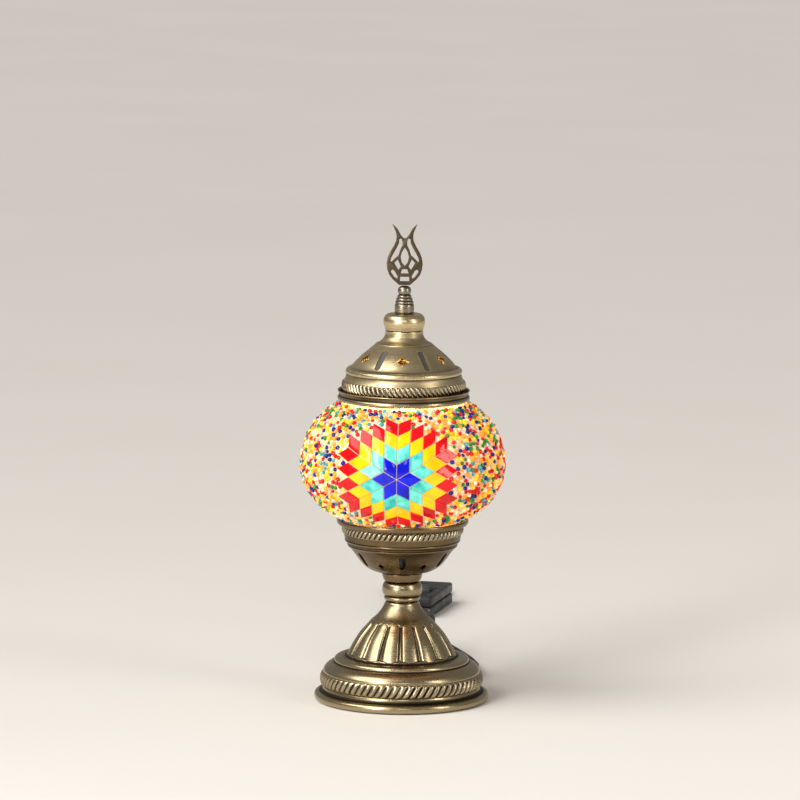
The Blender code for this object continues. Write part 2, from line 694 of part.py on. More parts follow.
# ---------------------------------------------------------------- cap and finial
def make_cap(seat_z):
    """Pressed cap with its knob, stud and nut, lifted off together. Gives the level of the knob's top."""
    axis = add_empty("cap_axis", (0.0, 0.0, seat_z))
    hole = STUD_RADIUS + TUBE_FIT
    top = CAP_HEIGHT
    outline = [
        (hole, top),
        (KNOB_RADIUS - 1.2, top),
        (KNOB_RADIUS - 1.1, top - 3.2),
        (KNOB_RADIUS + 0.9, top - 6.0),
        (KNOB_RADIUS + 6.4, top - 8.4),
        (CAP_RADIUS - 9.4, top - 18.4),
        (CAP_RADIUS - 4.7, top - 22.8),
        (CAP_RADIUS - 2.7, top - 25.4),
        (CAP_RADIUS - 3.7, top - 27.2),
        (CAP_RADIUS - 0.5, top - 29.4),
        (CAP_RADIUS, top - 33.0),
        (CAP_RADIUS - 0.6, 0.0),
    ]
    cap = turned_shell("cap_shell", outline, SHEET_WALL, ANTIQUE_BRASS)
    cut_stars(cap, CAP_RADIUS - 12.9, top - 15.0, radians(-46.0), radians(-90.0))
    attach(cap, axis)
    make_skirt(axis)
    knob_z = top + GAP
    knob = [
        (KNOB_RADIUS - 2.4, knob_z + KNOB_HEIGHT),
        (KNOB_RADIUS - 0.6, knob_z + KNOB_HEIGHT - 1.8),
        (KNOB_RADIUS, knob_z + KNOB_HEIGHT - 4.6),
        (KNOB_RADIUS - 0.5, knob_z + 2.8),
        (KNOB_RADIUS - 1.4, knob_z),
        (hole, knob_z),
        (hole, knob_z + KNOB_HEIGHT),
    ]
    turned_solid("cap_knob", knob, ANTIQUE_BRASS, 24, axis)
    finial_z = knob_z + KNOB_HEIGHT
    hex_nut("cap_nut", hole, top - SHEET_WALL - GAP - NUT_HEIGHT, STEEL, axis)
    stud = [
        (0.0, finial_z + STUD_ABOVE_KNOB),
        (STUD_RADIUS, finial_z + STUD_ABOVE_KNOB),
        (STUD_RADIUS, top - STUD_BELOW_CAP),
        (0.0, top - STUD_BELOW_CAP),
    ]
    turned_core("finial_stud", stud, STEEL, NARROW_STEPS, axis)
    return seat_z + finial_z


def make_skirt(axis):
    """Inner ring of the cap, which drops through the gallery and centres the cap on the mouth."""
    outer = SEAL_BORE - CAP_TRAVEL_CLEARANCE
    rim = CAP_RADIUS - 0.6 - SHEET_WALL - GAP
    low = -CAP_SKIRT_HEIGHT
    outline = [
        (rim, 3.0),
        (rim, 2.0),
        (outer, 1.6),
        (outer, low),
        (outer - 0.8, low),
        (outer - 0.8, 3.0),
    ]
    turned_solid("cap_skirt", outline, STEEL, WIDE_STEPS, axis)


def make_finial(foot_z):
    """Turned foot that screws on the stud, and the openwork tulip it carries."""
    axis = add_empty("finial_axis", (0.0, 0.0, foot_z + GAP))
    high = FINIAL_BASE_HEIGHT
    wide = FINIAL_RADIUS
    bore = STUD_RADIUS + STUD_FIT
    outline = [(0.0, high), (wide - 3.0, high), (wide - 2.0, high - 2.4), (wide - 2.6, high - 5.0)]
    for drop, radius in ((6.3, wide - 1.6), (8.2, wide - 0.9), (10.1, wide - 0.4)):
        outline.append((radius, high - drop))
        outline.append((radius - 0.5, high - drop - 0.9))
    depth = STUD_ABOVE_KNOB + 0.5
    outline += [(wide, high - 11.6), (wide, 0.0), (bore, 0.0), (bore, depth), (0.0, depth)]
    turned_core("finial_base", outline, ANTIQUE_BRASS, NARROW_STEPS, axis)
    plate = add_plate("tulip_plate", tulip_outlines(), TULIP_THICKNESS)
    plate.location = (0.0, 0.0, (high + GAP) * MM)
    plate = settle(plate, DARK_BRASS)
    attach(plate, axis)


def tulip_outlines():
    """Edge and openings of the tulip, as shares of its half width and its height."""
    edge = [
        (0.30, 0.00), (0.65, 0.09), (0.86, 0.17), (0.96, 0.25), (1.00, 0.35), (0.94, 0.45),
        (0.83, 0.53), (0.63, 0.63), (0.49, 0.72), (0.46, 0.79), (0.49, 0.86), (0.69, 1.00),
        (0.40, 0.915), (0.23, 0.82), (0.10, 0.775),
    ]
    petal = [
        (0.20, 0.765), (0.31, 0.75), (0.32, 0.69), (0.45, 0.61), (0.62, 0.52), (0.75, 0.445),
        (0.79, 0.39), (0.75, 0.373), (0.52, 0.44), (0.36, 0.48), (0.31, 0.52), (0.23, 0.59),
        (0.13, 0.65), (0.13, 0.71),
    ]
    diamond = [(0.39, 0.42), (0.58, 0.36), (0.35, 0.245), (0.21, 0.30)]
    slot = [(0.68, 0.255), (0.78, 0.22), (0.57, 0.127), (0.43, 0.10), (0.385, 0.14), (0.57, 0.235)]
    almond = [(0.0, 0.615), (0.16, 0.54), (0.23, 0.46), (0.17, 0.37), (0.0, 0.31)]
    keystone = [(0.14, 0.26), (0.22, 0.187)]
    window = [(0.25, 0.135), (0.25, 0.06)]
    shapes = [sides(edge, 0.762), sides(almond), sides(keystone), sides(window)]
    for hole in (petal, diamond, slot):
        shapes.append(scale_tulip(hole))
        shapes.append(scale_tulip([(-x, z) for x, z in reversed(hole)]))
    return shapes


def scale_tulip(points):
    """Turns shares of the tulip's half width and height into millimetres."""
    return [(x * TULIP_WIDTH / 2, z * TULIP_HEIGHT) for x, z in points]


def sides(right, notch=None):
    """A symmetric outline from its right-hand points, with a point on the axis where a notch is given."""
    left = [(-x, z) for x, z in reversed(right) if x > 0.0]
    middle = [] if notch is None else [(0.0, notch)]
    return scale_tulip(right + middle + left)


# ---------------------------------------------------------------- lampholder and bulb
def make_holder():
    """Lampholder with its screw shell, centre contact and the two wires that feed it."""
    top = HOLDER_Z + HOLDER_HEIGHT
    outline = [
        (HOLDER_RADIUS - 1.0, top),
        (HOLDER_RADIUS, top - 1.0),
        (HOLDER_RADIUS, HOLDER_Z + 4.0),
        (HOLDER_RADIUS - 2.0, HOLDER_Z),
        (TUBE_HOLE, HOLDER_Z),
        (TUBE_HOLE, HOLDER_Z + HOLDER_FLOOR),
        (HOLDER_BORE, HOLDER_Z + HOLDER_FLOOR),
        (HOLDER_BORE, top),
    ]
    turned_solid("lampholder", outline, BAKELITE, BULB_STEPS)
    outer = SHELL_BORE + SHELL_WALL
    ring("screw_shell", outer, SHELL_BORE, CONTACT_Z + 2.0, top - 1.0, PLAIN_BRASS, BULB_STEPS)
    disc_outline = [(0.0, CONTACT_Z + 1.0), (1.9, CONTACT_Z + 1.0), (2.4, CONTACT_Z), (0.0, CONTACT_Z)]
    turned_core("centre_contact", disc_outline, PLAIN_BRASS, 12)


def make_wires():
    """Live and neutral wires, from the clamp in the base up the tube to the lampholder."""
    start = CLAMP_DISTANCE - CLAMP_LENGTH / 2 - GAP - 3.0
    across = Vector((-sin(EXIT_AZIMUTH), cos(EXIT_AZIMUTH), 0.0))
    to_contact = [Vector((0.0, -WIRE_SPREAD, CONTACT_Z - GAP))]
    to_shell = [
        Vector((0.0, WIRE_SPREAD + 1.0, TUBE_TOP_Z + 0.9)),
        Vector((0.0, WIRE_SPREAD + 3.2, TUBE_TOP_Z + 1.7)),
        Vector((0.0, BULB_CAP_RADIUS - 0.5, TUBE_TOP_Z + 2.9)),
    ]
    for name, side, material, ends in (
        ("live_wire", -1, BROWN_WIRE, to_contact),
        ("neutral_wire", 1, BLUE_WIRE, to_shell),
    ):
        shift = across * WIRE_SPREAD * side
        foot = Vector(heading_point(start, EXIT_AZIMUTH, EXIT_Z)) + shift
        inward = Vector(heading_point(start - 10.0, EXIT_AZIMUTH, EXIT_Z + 5.0)) + shift
        rise = Vector((0.0, side * WIRE_SPREAD, TUBE_BOTTOM_Z - 8.0))
        throat = Vector((0.0, side * WIRE_SPREAD, TUBE_BOTTOM_Z + 4.0))
        exit_point = Vector((0.0, side * WIRE_SPREAD, TUBE_TOP_Z - 1.0))
        middle = (throat + exit_point) / 2
        route = [foot, inward, rise, throat, middle, exit_point] + ends
        tube_along(name, route, WIRE_RADIUS, material, 12.0)


def make_bulb():
    """Small tubular bulb that screws in the lampholder."""
    axis = add_empty("bulb_axis", (0.0, 0.0, BULB_TIP_Z))
    cap_low = 2.6
    cap_top = cap_low + BULB_CAP_HEIGHT
    inner = BULB_CAP_RADIUS - 0.5
    contact = [(0.0, 0.0), (1.8, 0.0), (2.2, 0.8), (2.2, 1.6), (0.0, 1.6)]
    turned_core("bulb_contact", list(reversed(contact)), PLAIN_BRASS, 12, axis)
    insulator = [
        (3.2, cap_low - 0.1),
        (2.6, 0.9),
        (2.2 + GAP, 0.9),
        (2.2 + GAP, cap_low - 0.1),
    ]
    turned_solid("bulb_insulator", insulator, BAKELITE, 12, axis)
    cup = [
        (BULB_CAP_RADIUS, cap_top),
        (BULB_CAP_RADIUS, cap_low + 2.4),
        (4.6, cap_low + 0.2),
        (2.8, cap_low + 0.2),
        (2.8, cap_low + 0.9),
        (4.2, cap_low + 0.9),
        (inner, cap_low + 2.9),
        (inner, cap_top),
    ]
    turned_solid("bulb_cap", cup, PLAIN_BRASS, BULB_STEPS, axis)
    neck = cap_top + GAP
    high = neck + BULB_GLASS_HEIGHT
    glass = [
        (1.6, high),
        (BULB_RADIUS * 0.55, high - 1.6),
        (BULB_RADIUS * 0.86, high - 5.4),
        (BULB_RADIUS, high - BULB_RADIUS),
        (BULB_RADIUS, neck + 14.0),
        (BULB_RADIUS * 0.8, neck + 6.0),
        (BULB_CAP_RADIUS - 0.3, neck),
    ]
    envelope = [(0.0, high + 0.3)] + glass[1:]
    turned_shell("bulb_glass", envelope, BULB_WALL, BULB_GLASS, BULB_STEPS, axis)
    stem = [
        (0.0, neck + 20.0),
        (1.4, neck + 19.0),
        (1.4, neck + 4.0),
        (3.4, cap_low + 6.0),
        (0.0, cap_low + 6.0),
    ]
    turned_core("bulb_stem", stem, BULB_GLASS, 12, axis)
    top = neck + 24.0
    loop = [
        (-5.5, 0.0, top),
        (-3.0, 0.0, top + 3.0),
        (0.0, 0.0, top - 3.4),
        (3.0, 0.0, top + 3.0),
        (5.5, 0.0, top),
    ]
    tube_along("bulb_filament", loop, 0.3, STEEL, 2.5, axis)


# ---------------------------------------------------------------- flex, switch and plug
# points of the flex where it lies free: x, y and the lift above the level it rests at
FLEX_OUT = [
    (43.3, 76.1, 6.5), (45.3, 82.8, 3.3), (46.2, 89.8, 1.0), (46.1, 96.8, 0.1), (45.1, 103.7, 0.0),
    (43.6, 111.3, 0.0), (41.4, 120.0, 0.0), (37.4, 134.0, 0.0), (33.2, 148.0, 0.0), (28.0, 165.0, 0.0),
    (22.0, 188.0, 0.0), (15.6, 212.0, 0.0), (9.6, 236.0, 0.2), (6.6, 256.0, 1.9),
]
FLEX_BACK = [
    (-11.7, 352.0, 0.0), (-11.8, 340.0, 0.0), (-11.7, 326.0, 0.0), (-11.3, 312.0, 0.0), (-10.7, 298.0, 0.0),
    (-9.8, 283.0, 0.0), (-8.6, 266.0, 0.0), (-7.6, 240.0, 0.0), (-8.2, 214.0, 0.0), (-11.2, 190.0, 0.0),
    (-15.8, 168.0, 0.1), (-19.4, 150.0, 1.1), (-20.4, 137.4, 1.6),
]
# the wide turn of the flex behind the switch
TURN_LEAD = (26.2, 350.9, 2.9)
TURN_CENTRE = (8.7, 364.2)
TURN_RADIUS = 20.2
TURN_START = radians(-14)
TURN_ANGLE = radians(198)
TURN_STEPS = 11
TURN_LIFTS = [0.7]
# the same for the end that lies on the hank, above the level of the hank's top
FLEX_TAIL = [
    (14.8, 76.0, 0.0), (15.5, 80.5, 0.1), (15.0, 86.1, 0.8), (13.3, 91.7, 1.7), (11.6, 97.2, 2.6),
]


def switch_point(along, z):
    """A point on the switch's long axis, in the lamp's frame."""
    x = SWITCH_CENTRE[0] + along * cos(SWITCH_HEADING)
    y = SWITCH_CENTRE[1] + along * sin(SWITCH_HEADING)
    return (x, y, z)


def back_turn():
    """Points round the turn behind the switch, each with its lift."""
    lifts = TURN_LIFTS + [0.0] * (TURN_STEPS + 1 - len(TURN_LIFTS))
    points = [TURN_LEAD]
    for k, lift in enumerate(lifts):
        angle = TURN_START + TURN_ANGLE * k / TURN_STEPS
        x = TURN_CENTRE[0] + TURN_RADIUS * cos(angle)
        y = TURN_CENTRE[1] + TURN_RADIUS * sin(angle)
        points.append((x, y, lift))
    return points


def make_flex():
    """The flex where it lies free, the hank it ends in, and the tie round it."""
    step = CORD_DIAMETER * 2.5
    end = SWITCH_LENGTH / 2 + GAP
    straight = end + CORD_DIAMETER
    inside = heading_point(CLAMP_DISTANCE - CLAMP_LENGTH / 2 - 2.0, EXIT_AZIMUTH, EXIT_Z)
    wall = heading_point(BASE_RADIUS, EXIT_AZIMUTH, EXIT_Z)
    tip = heading_point(BASE_RADIUS + GLAND_LENGTH - 3.6, EXIT_AZIMUTH, EXIT_Z)
    beyond = heading_point(BASE_RADIUS + GLAND_LENGTH + 3.4, EXIT_AZIMUTH, EXIT_Z - 0.6)
    lead = [inside, wall, tip, beyond] + lifted(FLEX_OUT, CORD_REST_Z)
    lead += [switch_point(-straight, CORD_ENTRY_Z), switch_point(-end, CORD_ENTRY_Z)]
    tube_along("flex_to_switch", lead, CORD_RADIUS, BLACK_PVC, step)
    back = [switch_point(end, CORD_ENTRY_Z), switch_point(straight, CORD_ENTRY_Z)]
    back += lifted(back_turn() + FLEX_BACK, CORD_REST_Z)
    tube_along("flex_to_hank", back, CORD_RADIUS, BLACK_PVC, step)
    middle = HANK_FRONT_Y + HANK_LENGTH / 2
    hank = add_plate("flex_hank", [stadium(HANK_LENGTH, HANK_WIDTH)], HANK_HEIGHT)
    hank.rotation_euler = (0.0, 0.0, pi / 2)
    hank.location = (0.0, middle * MM, (HANK_Z + HANK_HEIGHT / 2) * MM)
    settle(hank, BLACK_PVC)
    inner = (HANK_WIDTH + 2 * GAP, HANK_HEIGHT + 2 * GAP)
    outer = (inner[0] + 2 * TIE_THICKNESS, inner[1] + 2 * TIE_THICKNESS)
    tie_z = HANK_Z + HANK_HEIGHT / 2
    tie = add_plate("hank_tie", [rectangle(*outer), rectangle(*inner)], TIE_WIDTH)
    tie.location = (0.0, (middle - 6.0) * MM, tie_z * MM)
    settle(tie, BLACK_PVC)
    tail = lifted(FLEX_TAIL, TAIL_Z) + [(PLUG_X, PLUG_REAR_Y - PLUG_SLEEVE - GAP, PLUG_Z)]
    tube_along("flex_tail", tail, CORD_RADIUS, BLACK_PVC, step / 2)


def lifted(points, level):
    """Route points whose heights are given above a level."""
    return [(x, y, level + lift) for x, y, lift in points]


def stadium(length, width):
    """Outline with straight sides and round ends, centred, its length along X."""
    radius = width / 2
    half = length / 2 - radius
    outline = []
    for centre, first in ((half, -pi / 2), (-half, pi / 2)):
        for k in range(9):
            angle = first + k * pi / 8
            outline.append((centre + radius * cos(angle), radius * sin(angle)))
    return outline


def rectangle(width, height):
    """Centred rectangle outline."""
    x, y = width / 2, height / 2
    return [(-x, -y), (x, -y), (x, y), (-x, y)]


def make_switch():
    """In-line switch: two half cases, their screws, the contacts and the rocker."""
    turn = (0.0, 0.0, SWITCH_HEADING)
    frame = add_empty("switch_frame", (*SWITCH_CENTRE, 0.0), turn)
    low_height = SWITCH_SPLIT
    top_low = SWITCH_SPLIT + GAP
    top_height = SWITCH_HEIGHT - top_low
    lower = add_box("switch_lower_case", (SWITCH_LENGTH, SWITCH_WIDTH, low_height),
                    (0.0, 0.0, low_height / 2), BLACK_PVC, 1.2)
    upper = add_box("switch_upper_case", (SWITCH_LENGTH, SWITCH_WIDTH, top_height),
                    (0.0, 0.0, top_low + top_height / 2), BLACK_PVC, 1.2)
    hollow = (SWITCH_CAVITY, SWITCH_WIDTH - 2 * SWITCH_WALL - 3.0, low_height)
    cut(lower, add_box("lower_hollow", hollow, (0.0, 0.0, low_height / 2 + SWITCH_WALL), None))
    hollow = (SWITCH_CAVITY, SWITCH_WIDTH - 2 * SWITCH_WALL - 3.0, top_height)
    cut(upper, add_box("upper_hollow", hollow, (0.0, 0.0, top_low + top_height / 2 - SWITCH_WALL), None))
    window = (ROCKER_LENGTH + 2 * ROCKER_FIT, ROCKER_WIDTH + 2 * GAP, 20.0)
    cut(upper, add_box("rocker_window", window, (0.0, 0.0, SWITCH_HEIGHT), None))
    for number, side in enumerate((-1, 1), start=1):
        spot = (side * (SWITCH_CAVITY / 2 + 6.0), side * (SWITCH_WIDTH / 2 - 4.6))
        head_z = SWITCH_HEIGHT - SCREW_HEAD_HEIGHT - 0.6
        cut(upper, add_cylinder(SCREW_HEAD_RADIUS + GAP, head_z - GAP, 30.0, spot, 12))
        cut(upper, add_cylinder(SCREW_RADIUS + GAP, 0.0, 30.0, spot, 8))
        cut(lower, add_cylinder(SCREW_RADIUS + GAP, 1.5, 30.0, spot, 8))
        screw = turned_core(f"switch_screw_{number}", screw_outline(head_z, 2.0), STEEL, 12, frame)
        screw.location = (spot[0] * MM, spot[1] * MM, 0.0)
    for number, side in enumerate((-1, 1), start=1):
        block = (6.0, 7.0, 3.6)
        place = (side * 11.0, 0.0, SWITCH_WALL + GAP + block[2] / 2)
        add_box(f"switch_contact_{number}", block, place, PLAIN_BRASS, 0.0, frame)
    attach(lower, frame)
    attach(upper, frame)
    make_rocker(frame)


def make_rocker(frame):
    """Rocker on its cross axis, resting pressed down at the end away from the lamp."""
    pivot = add_empty("rocker_axis", (0.0, 0.0, SWITCH_HEIGHT - 1.0), (0.0, ROCKER_TILT, 0.0))
    pivot.parent = frame
    half = ROCKER_LENGTH / 2
    outline = [(-half, -1.6), (-3.0, -4.4), (3.0, -4.4), (half, -1.6), (half, 2.6), (0.0, 1.4), (-half, 2.6)]
    rocker = add_plate("rocker", [outline], ROCKER_WIDTH)
    rocker = settle(rocker, BLACK_PVC)
    attach(rocker, pivot)


def make_plug():
    """Small two-blade plug lying on the hank."""
    rear = PLUG_REAR_Y
    body = add_box("plug_body", (PLUG_WIDTH, PLUG_LENGTH, PLUG_HEIGHT),
                   (PLUG_X, rear + PLUG_LENGTH / 2, PLUG_Z), BLACK_PVC, 1.5)
    wide = PLUG_HEIGHT / 2 - 0.9
    outline = [(0.0, 3.0), (wide, 3.0), (wide, 0.0), (CORD_RADIUS + 0.9, -PLUG_SLEEVE), (0.0, -PLUG_SLEEVE)]
    taper = turned_core("plug_sleeve", outline, BLACK_PVC, 12)
    stand = Matrix.Rotation(-pi / 2, 4, "X")
    taper.matrix_world = Matrix.Translation(Vector((PLUG_X, rear, PLUG_Z)) * MM) @ stand
    cut(body, taper, "UNION")
    blade_y = rear + PLUG_LENGTH + GAP + BLADE_LENGTH / 2
    for name, side in (("plug_blade_left", -1), ("plug_blade_right", 1)):
        add_box(name, (BLADE_THICKNESS, BLADE_LENGTH, BLADE_HEIGHT),
                (PLUG_X + side * BLADE_SPACING / 2, blade_y, PLUG_Z), PLAIN_BRASS)


# ---------------------------------------------------------------- the lamp
def main():
    make_base()
    make_flex_anchor()
    make_stem()
    mouth = make_globe()
    cap_seat = make_galleries(mouth)
    knob_top = make_cap(cap_seat)
    make_finial(knob_top)
    make_holder()
    make_wires()
    make_bulb()
    make_flex()
    make_switch()
    make_plug()


main()
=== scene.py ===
# %% [markdown]
# # A mosaic glass table lamp
# The real lamp is a stack on one threaded tube: a spun brass foot, a collar, a cup, a glass globe
# covered with cut tiles and seed beads, and a pierced cap with a tulip on top. Solid models of all
# its pieces are given. This lesson makes the fine surface over them: the relief of the brass, the
# mosaic, the flex at its real length, and a material for every piece.

import random
from math import copysign, cos, degrees, floor, hypot, pi, radians, sin, sqrt

import bmesh
import bpy
import numpy as np
from mathutils import Matrix, Vector, kdtree


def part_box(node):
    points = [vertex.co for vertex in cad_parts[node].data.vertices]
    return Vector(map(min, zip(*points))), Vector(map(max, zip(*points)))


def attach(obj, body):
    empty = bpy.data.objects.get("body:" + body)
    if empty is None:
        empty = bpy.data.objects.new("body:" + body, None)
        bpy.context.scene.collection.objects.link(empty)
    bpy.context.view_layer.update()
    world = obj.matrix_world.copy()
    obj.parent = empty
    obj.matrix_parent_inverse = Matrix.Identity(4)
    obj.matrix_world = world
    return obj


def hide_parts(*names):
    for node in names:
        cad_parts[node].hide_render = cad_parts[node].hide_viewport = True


MM = 0.001

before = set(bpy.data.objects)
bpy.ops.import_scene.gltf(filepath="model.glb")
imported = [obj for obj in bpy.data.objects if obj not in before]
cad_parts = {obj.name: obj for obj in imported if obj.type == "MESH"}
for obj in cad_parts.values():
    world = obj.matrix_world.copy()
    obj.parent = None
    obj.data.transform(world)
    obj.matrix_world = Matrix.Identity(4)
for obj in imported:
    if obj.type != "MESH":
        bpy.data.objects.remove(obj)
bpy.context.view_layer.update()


def placed(name, data):
    """A new object with that mesh, curve, camera or light, in the scene."""
    thing = bpy.data.objects.new(name, data)
    bpy.context.scene.collection.objects.link(thing)
    return thing


def eased(value, low=0.0, high=1.0):
    """0 below low, 1 above high, smooth between."""
    share = min(1.0, max(0.0, (value - low) / (high - low)))
    return share * share * (3 - 2 * share)


print("solid model:", len(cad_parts), "pieces")


# %% [markdown]
# ## Where the eye stands
# A small lamp seen from across a room shows almost no perspective, so the camera is far away with
# a long lens. It looks down by about eight degrees, which opens the rims into ellipses.

# %% Camera
CAMERA_AWAY = 3.2
CAMERA_HEIGHT = 0.63
LOOK_AT = Vector((-0.0022, 0.0, 0.184))
LENS = 240.0
ROLL = radians(0.45)

camera = placed("camera", bpy.data.cameras.new("camera"))
camera.data.lens = LENS
camera.data.sensor_width = 36.0
camera.data.clip_end = 50.0
camera.location = (0.0, -CAMERA_AWAY, CAMERA_HEIGHT)
sight = (LOOK_AT - camera.location).to_track_quat("-Z", "Y").to_matrix().to_4x4()
camera.matrix_world = Matrix.Translation(camera.location) @ sight @ Matrix.Rotation(ROLL, 4, "Z")
bpy.context.scene.camera = camera
print("camera", round(CAMERA_AWAY, 2), "m away")


# %% [markdown]
# ## The flex
# The flex leaves the foot at the back, runs to the inline switch, turns round and ends in a hank
# behind the lamp. Its free stretches are given point by point, because a real cord lies as it
# falls.
# The hank is a rule: six turns of a racetrack in three layers, a diameter apart. One smooth curve
# through the points with a round bevel gives a cord without joints.

# %% A smooth line through points
FLEX_DIAMETER = 0.005
FLEX_STEP = 0.003


def smooth_line(points, spacing=FLEX_STEP):
    """Points of a Catmull-Rom curve through the route, about evenly spaced."""
    route = [Vector(point) for point in points]
    route = [2 * route[0] - route[1]] + route + [2 * route[-1] - route[-2]]
    line = []
    for before, start, end, after in zip(route, route[1:], route[2:], route[3:]):
        count = max(1, round((end - start).length / spacing))
        for k in range(count):
            t = k / count
            line.append(0.5 * (
                2 * start + (end - before) * t
                + (2 * before - 5 * start + 4 * end - after) * t ** 2
                + (3 * start - before - 3 * end + after) * t ** 3))
    return line + [route[-2]]


def cord_curve(name, points, diameter):
    """A round cord along a line of points."""
    curve = bpy.data.curves.new(name, "CURVE")
    curve.dimensions = "3D"
    curve.bevel_depth = diameter / 2
    curve.bevel_resolution = 3
    curve.use_fill_caps = True
    spline = curve.splines.new("POLY")
    spline.points.add(len(points) - 1)
    for spot, point in zip(spline.points, points):
        spot.co = (*point, 1.0)
    return placed(name, curve)


def route_length(points):
    """Length along a line of points."""
    return sum((b - a).length for a, b in zip(points, points[1:]))


# %% The stretch from the foot to the switch
TO_SWITCH = [
    (0.0125, 0.02165, 0.0116), (0.0266, 0.04607, 0.0116), (0.0368, 0.06374, 0.0116),
    (0.0403, 0.06980, 0.0110), (0.0433, 0.0761, 0.0091), (0.0453, 0.0828, 0.0059),
    (0.0462, 0.0898, 0.0036), (0.0461, 0.0968, 0.0027), (0.0451, 0.1037, 0.0026),
    (0.0436, 0.1113, 0.0026), (0.0414, 0.1200, 0.0026), (0.0374, 0.1340, 0.0026),
    (0.0332, 0.1480, 0.0026), (0.0280, 0.1650, 0.0026), (0.0220, 0.1880, 0.0026),
    (0.0156, 0.2120, 0.0026), (0.0096, 0.2360, 0.0028), (0.0066, 0.2560, 0.0045),
    (0.00652, 0.27208, 0.0064), (0.00773, 0.27693, 0.0064),
]
lead_line = smooth_line(TO_SWITCH)
flex_lead = cord_curve("flex_lead", lead_line, FLEX_DIAMETER)
print("flex to the switch", round(route_length(lead_line), 3), "m")

# %% The stretch from the switch to the plug, with the hank's turns
SWITCH_EXIT = (0.02287, 0.33767, 0.0064)
TURN_CENTRE = (0.0097, 0.3681)
TURN_RADIUS = 0.0202
TURN_START = radians(-14)
TURN_ANGLE = radians(204)
TURN_Z = [0.0033] + [0.0026] * 11
TO_HANK = [
    (-0.0086, 0.3545, 0.0026), (-0.0077, 0.3440, 0.0026), (-0.0075, 0.3330, 0.0026),
    (-0.0076, 0.3200, 0.0026), (-0.0077, 0.3070, 0.0026), (-0.0077, 0.2940, 0.0026),
    (-0.0076, 0.2800, 0.0026), (-0.0075, 0.2400, 0.0026), (-0.0082, 0.2140, 0.0026),
    (-0.0112, 0.1900, 0.0026), (-0.0158, 0.1680, 0.0027), (-0.0194, 0.1500, 0.0037),
    (-0.0204, 0.1374, 0.0042),
]
TO_PLUG = [
    (0.0155, 0.0805, 0.0208), (0.0150, 0.0861, 0.0215), (0.0133, 0.0917, 0.0224),
    (0.0116, 0.0972, 0.0233), (0.0110, 0.1037, 0.0237),
]
NEAR_BEND_Y = 0.0805
FAR_BEND_Y = 0.1195
OUTER_LANE = 0.0205
INNER_LANE = 0.0155
HANK_TURNS = [
    (OUTER_LANE, 0.0042), (INNER_LANE, 0.0042), (INNER_LANE, 0.0092),
    (OUTER_LANE, 0.0092), (OUTER_LANE, 0.0142), (INNER_LANE, 0.0142),
]
BEND_STEPS = 12
STRAIGHT_STEPS = 6
BEND_SWELL = 0.0015    # how much wider an outer turn bends where it climbs


def switch_turn():
    """The wide turn behind the switch."""
    for k, z in enumerate(TURN_Z):
        angle = TURN_START + TURN_ANGLE * k / (len(TURN_Z) - 1)
        yield (TURN_CENTRE[0] + TURN_RADIUS * cos(angle),
               TURN_CENTRE[1] + TURN_RADIUS * sin(angle), z)


def bend_point(radius, turn, centre_y, z):
    """A point on one of the hank's two bends, the turn counted from the -X side."""
    angle = pi + turn
    return (radius * cos(angle), centre_y + radius * sin(angle), z)


def straight(x, start_y, end_y, z):
    """The points of one straight run, without its end."""
    return [(x, start_y + (end_y - start_y) * k / STRAIGHT_STEPS, z) for k in range(STRAIGHT_STEPS)]


def bend(lane, next_lane, turn, centre_y, z, next_z, swell=0.0):
    """The points of one bend, which may climb and change its lane."""
    for k in range(BEND_STEPS):
        share = k / BEND_STEPS
        radius = lane + (next_lane - lane) * eased(share) + swell * sin(pi * share)
        yield bend_point(radius, turn + pi * share, centre_y, z + (next_z - z) * eased(share))


def hank_route():
    """Six turns of a racetrack, each changing its lane in the far bend."""
    route = []
    for (lane, z), (next_lane, next_z) in zip(HANK_TURNS, HANK_TURNS[1:]):
        swell = BEND_SWELL if next_lane == lane == OUTER_LANE else 0.0
        route += straight(-lane, FAR_BEND_Y, NEAR_BEND_Y, z)
        route += bend(lane, lane, 0.0, NEAR_BEND_Y, z, z)
        route += straight(lane, NEAR_BEND_Y, FAR_BEND_Y, z)
        route += bend(lane, next_lane, pi, FAR_BEND_Y, z, next_z, swell)
    lane, z = HANK_TURNS[-1]
    route += straight(-lane, FAR_BEND_Y, NEAR_BEND_Y, z)
    route += bend(lane, lane, 0.0, NEAR_BEND_Y, z, TO_PLUG[0][2])
    return route


switch_end = [SWITCH_EXIT, (0.02408, 0.34252, 0.0064), (0.0262, 0.3509, 0.0055)]
main_line = smooth_line([*switch_end, *switch_turn(), *TO_HANK, *hank_route(), *TO_PLUG])
flex_main = cord_curve("flex_main", main_line, FLEX_DIAMETER)
print("flex to the plug", round(route_length(main_line), 3), "m")


# %% [markdown]
# ## Shader sums
# A material's nodes can be wired by hand, but a sum of masks soon takes twenty lines. A small class
# that wraps one socket lets the same sum be written as Python arithmetic, and its one method adds
# any other node.

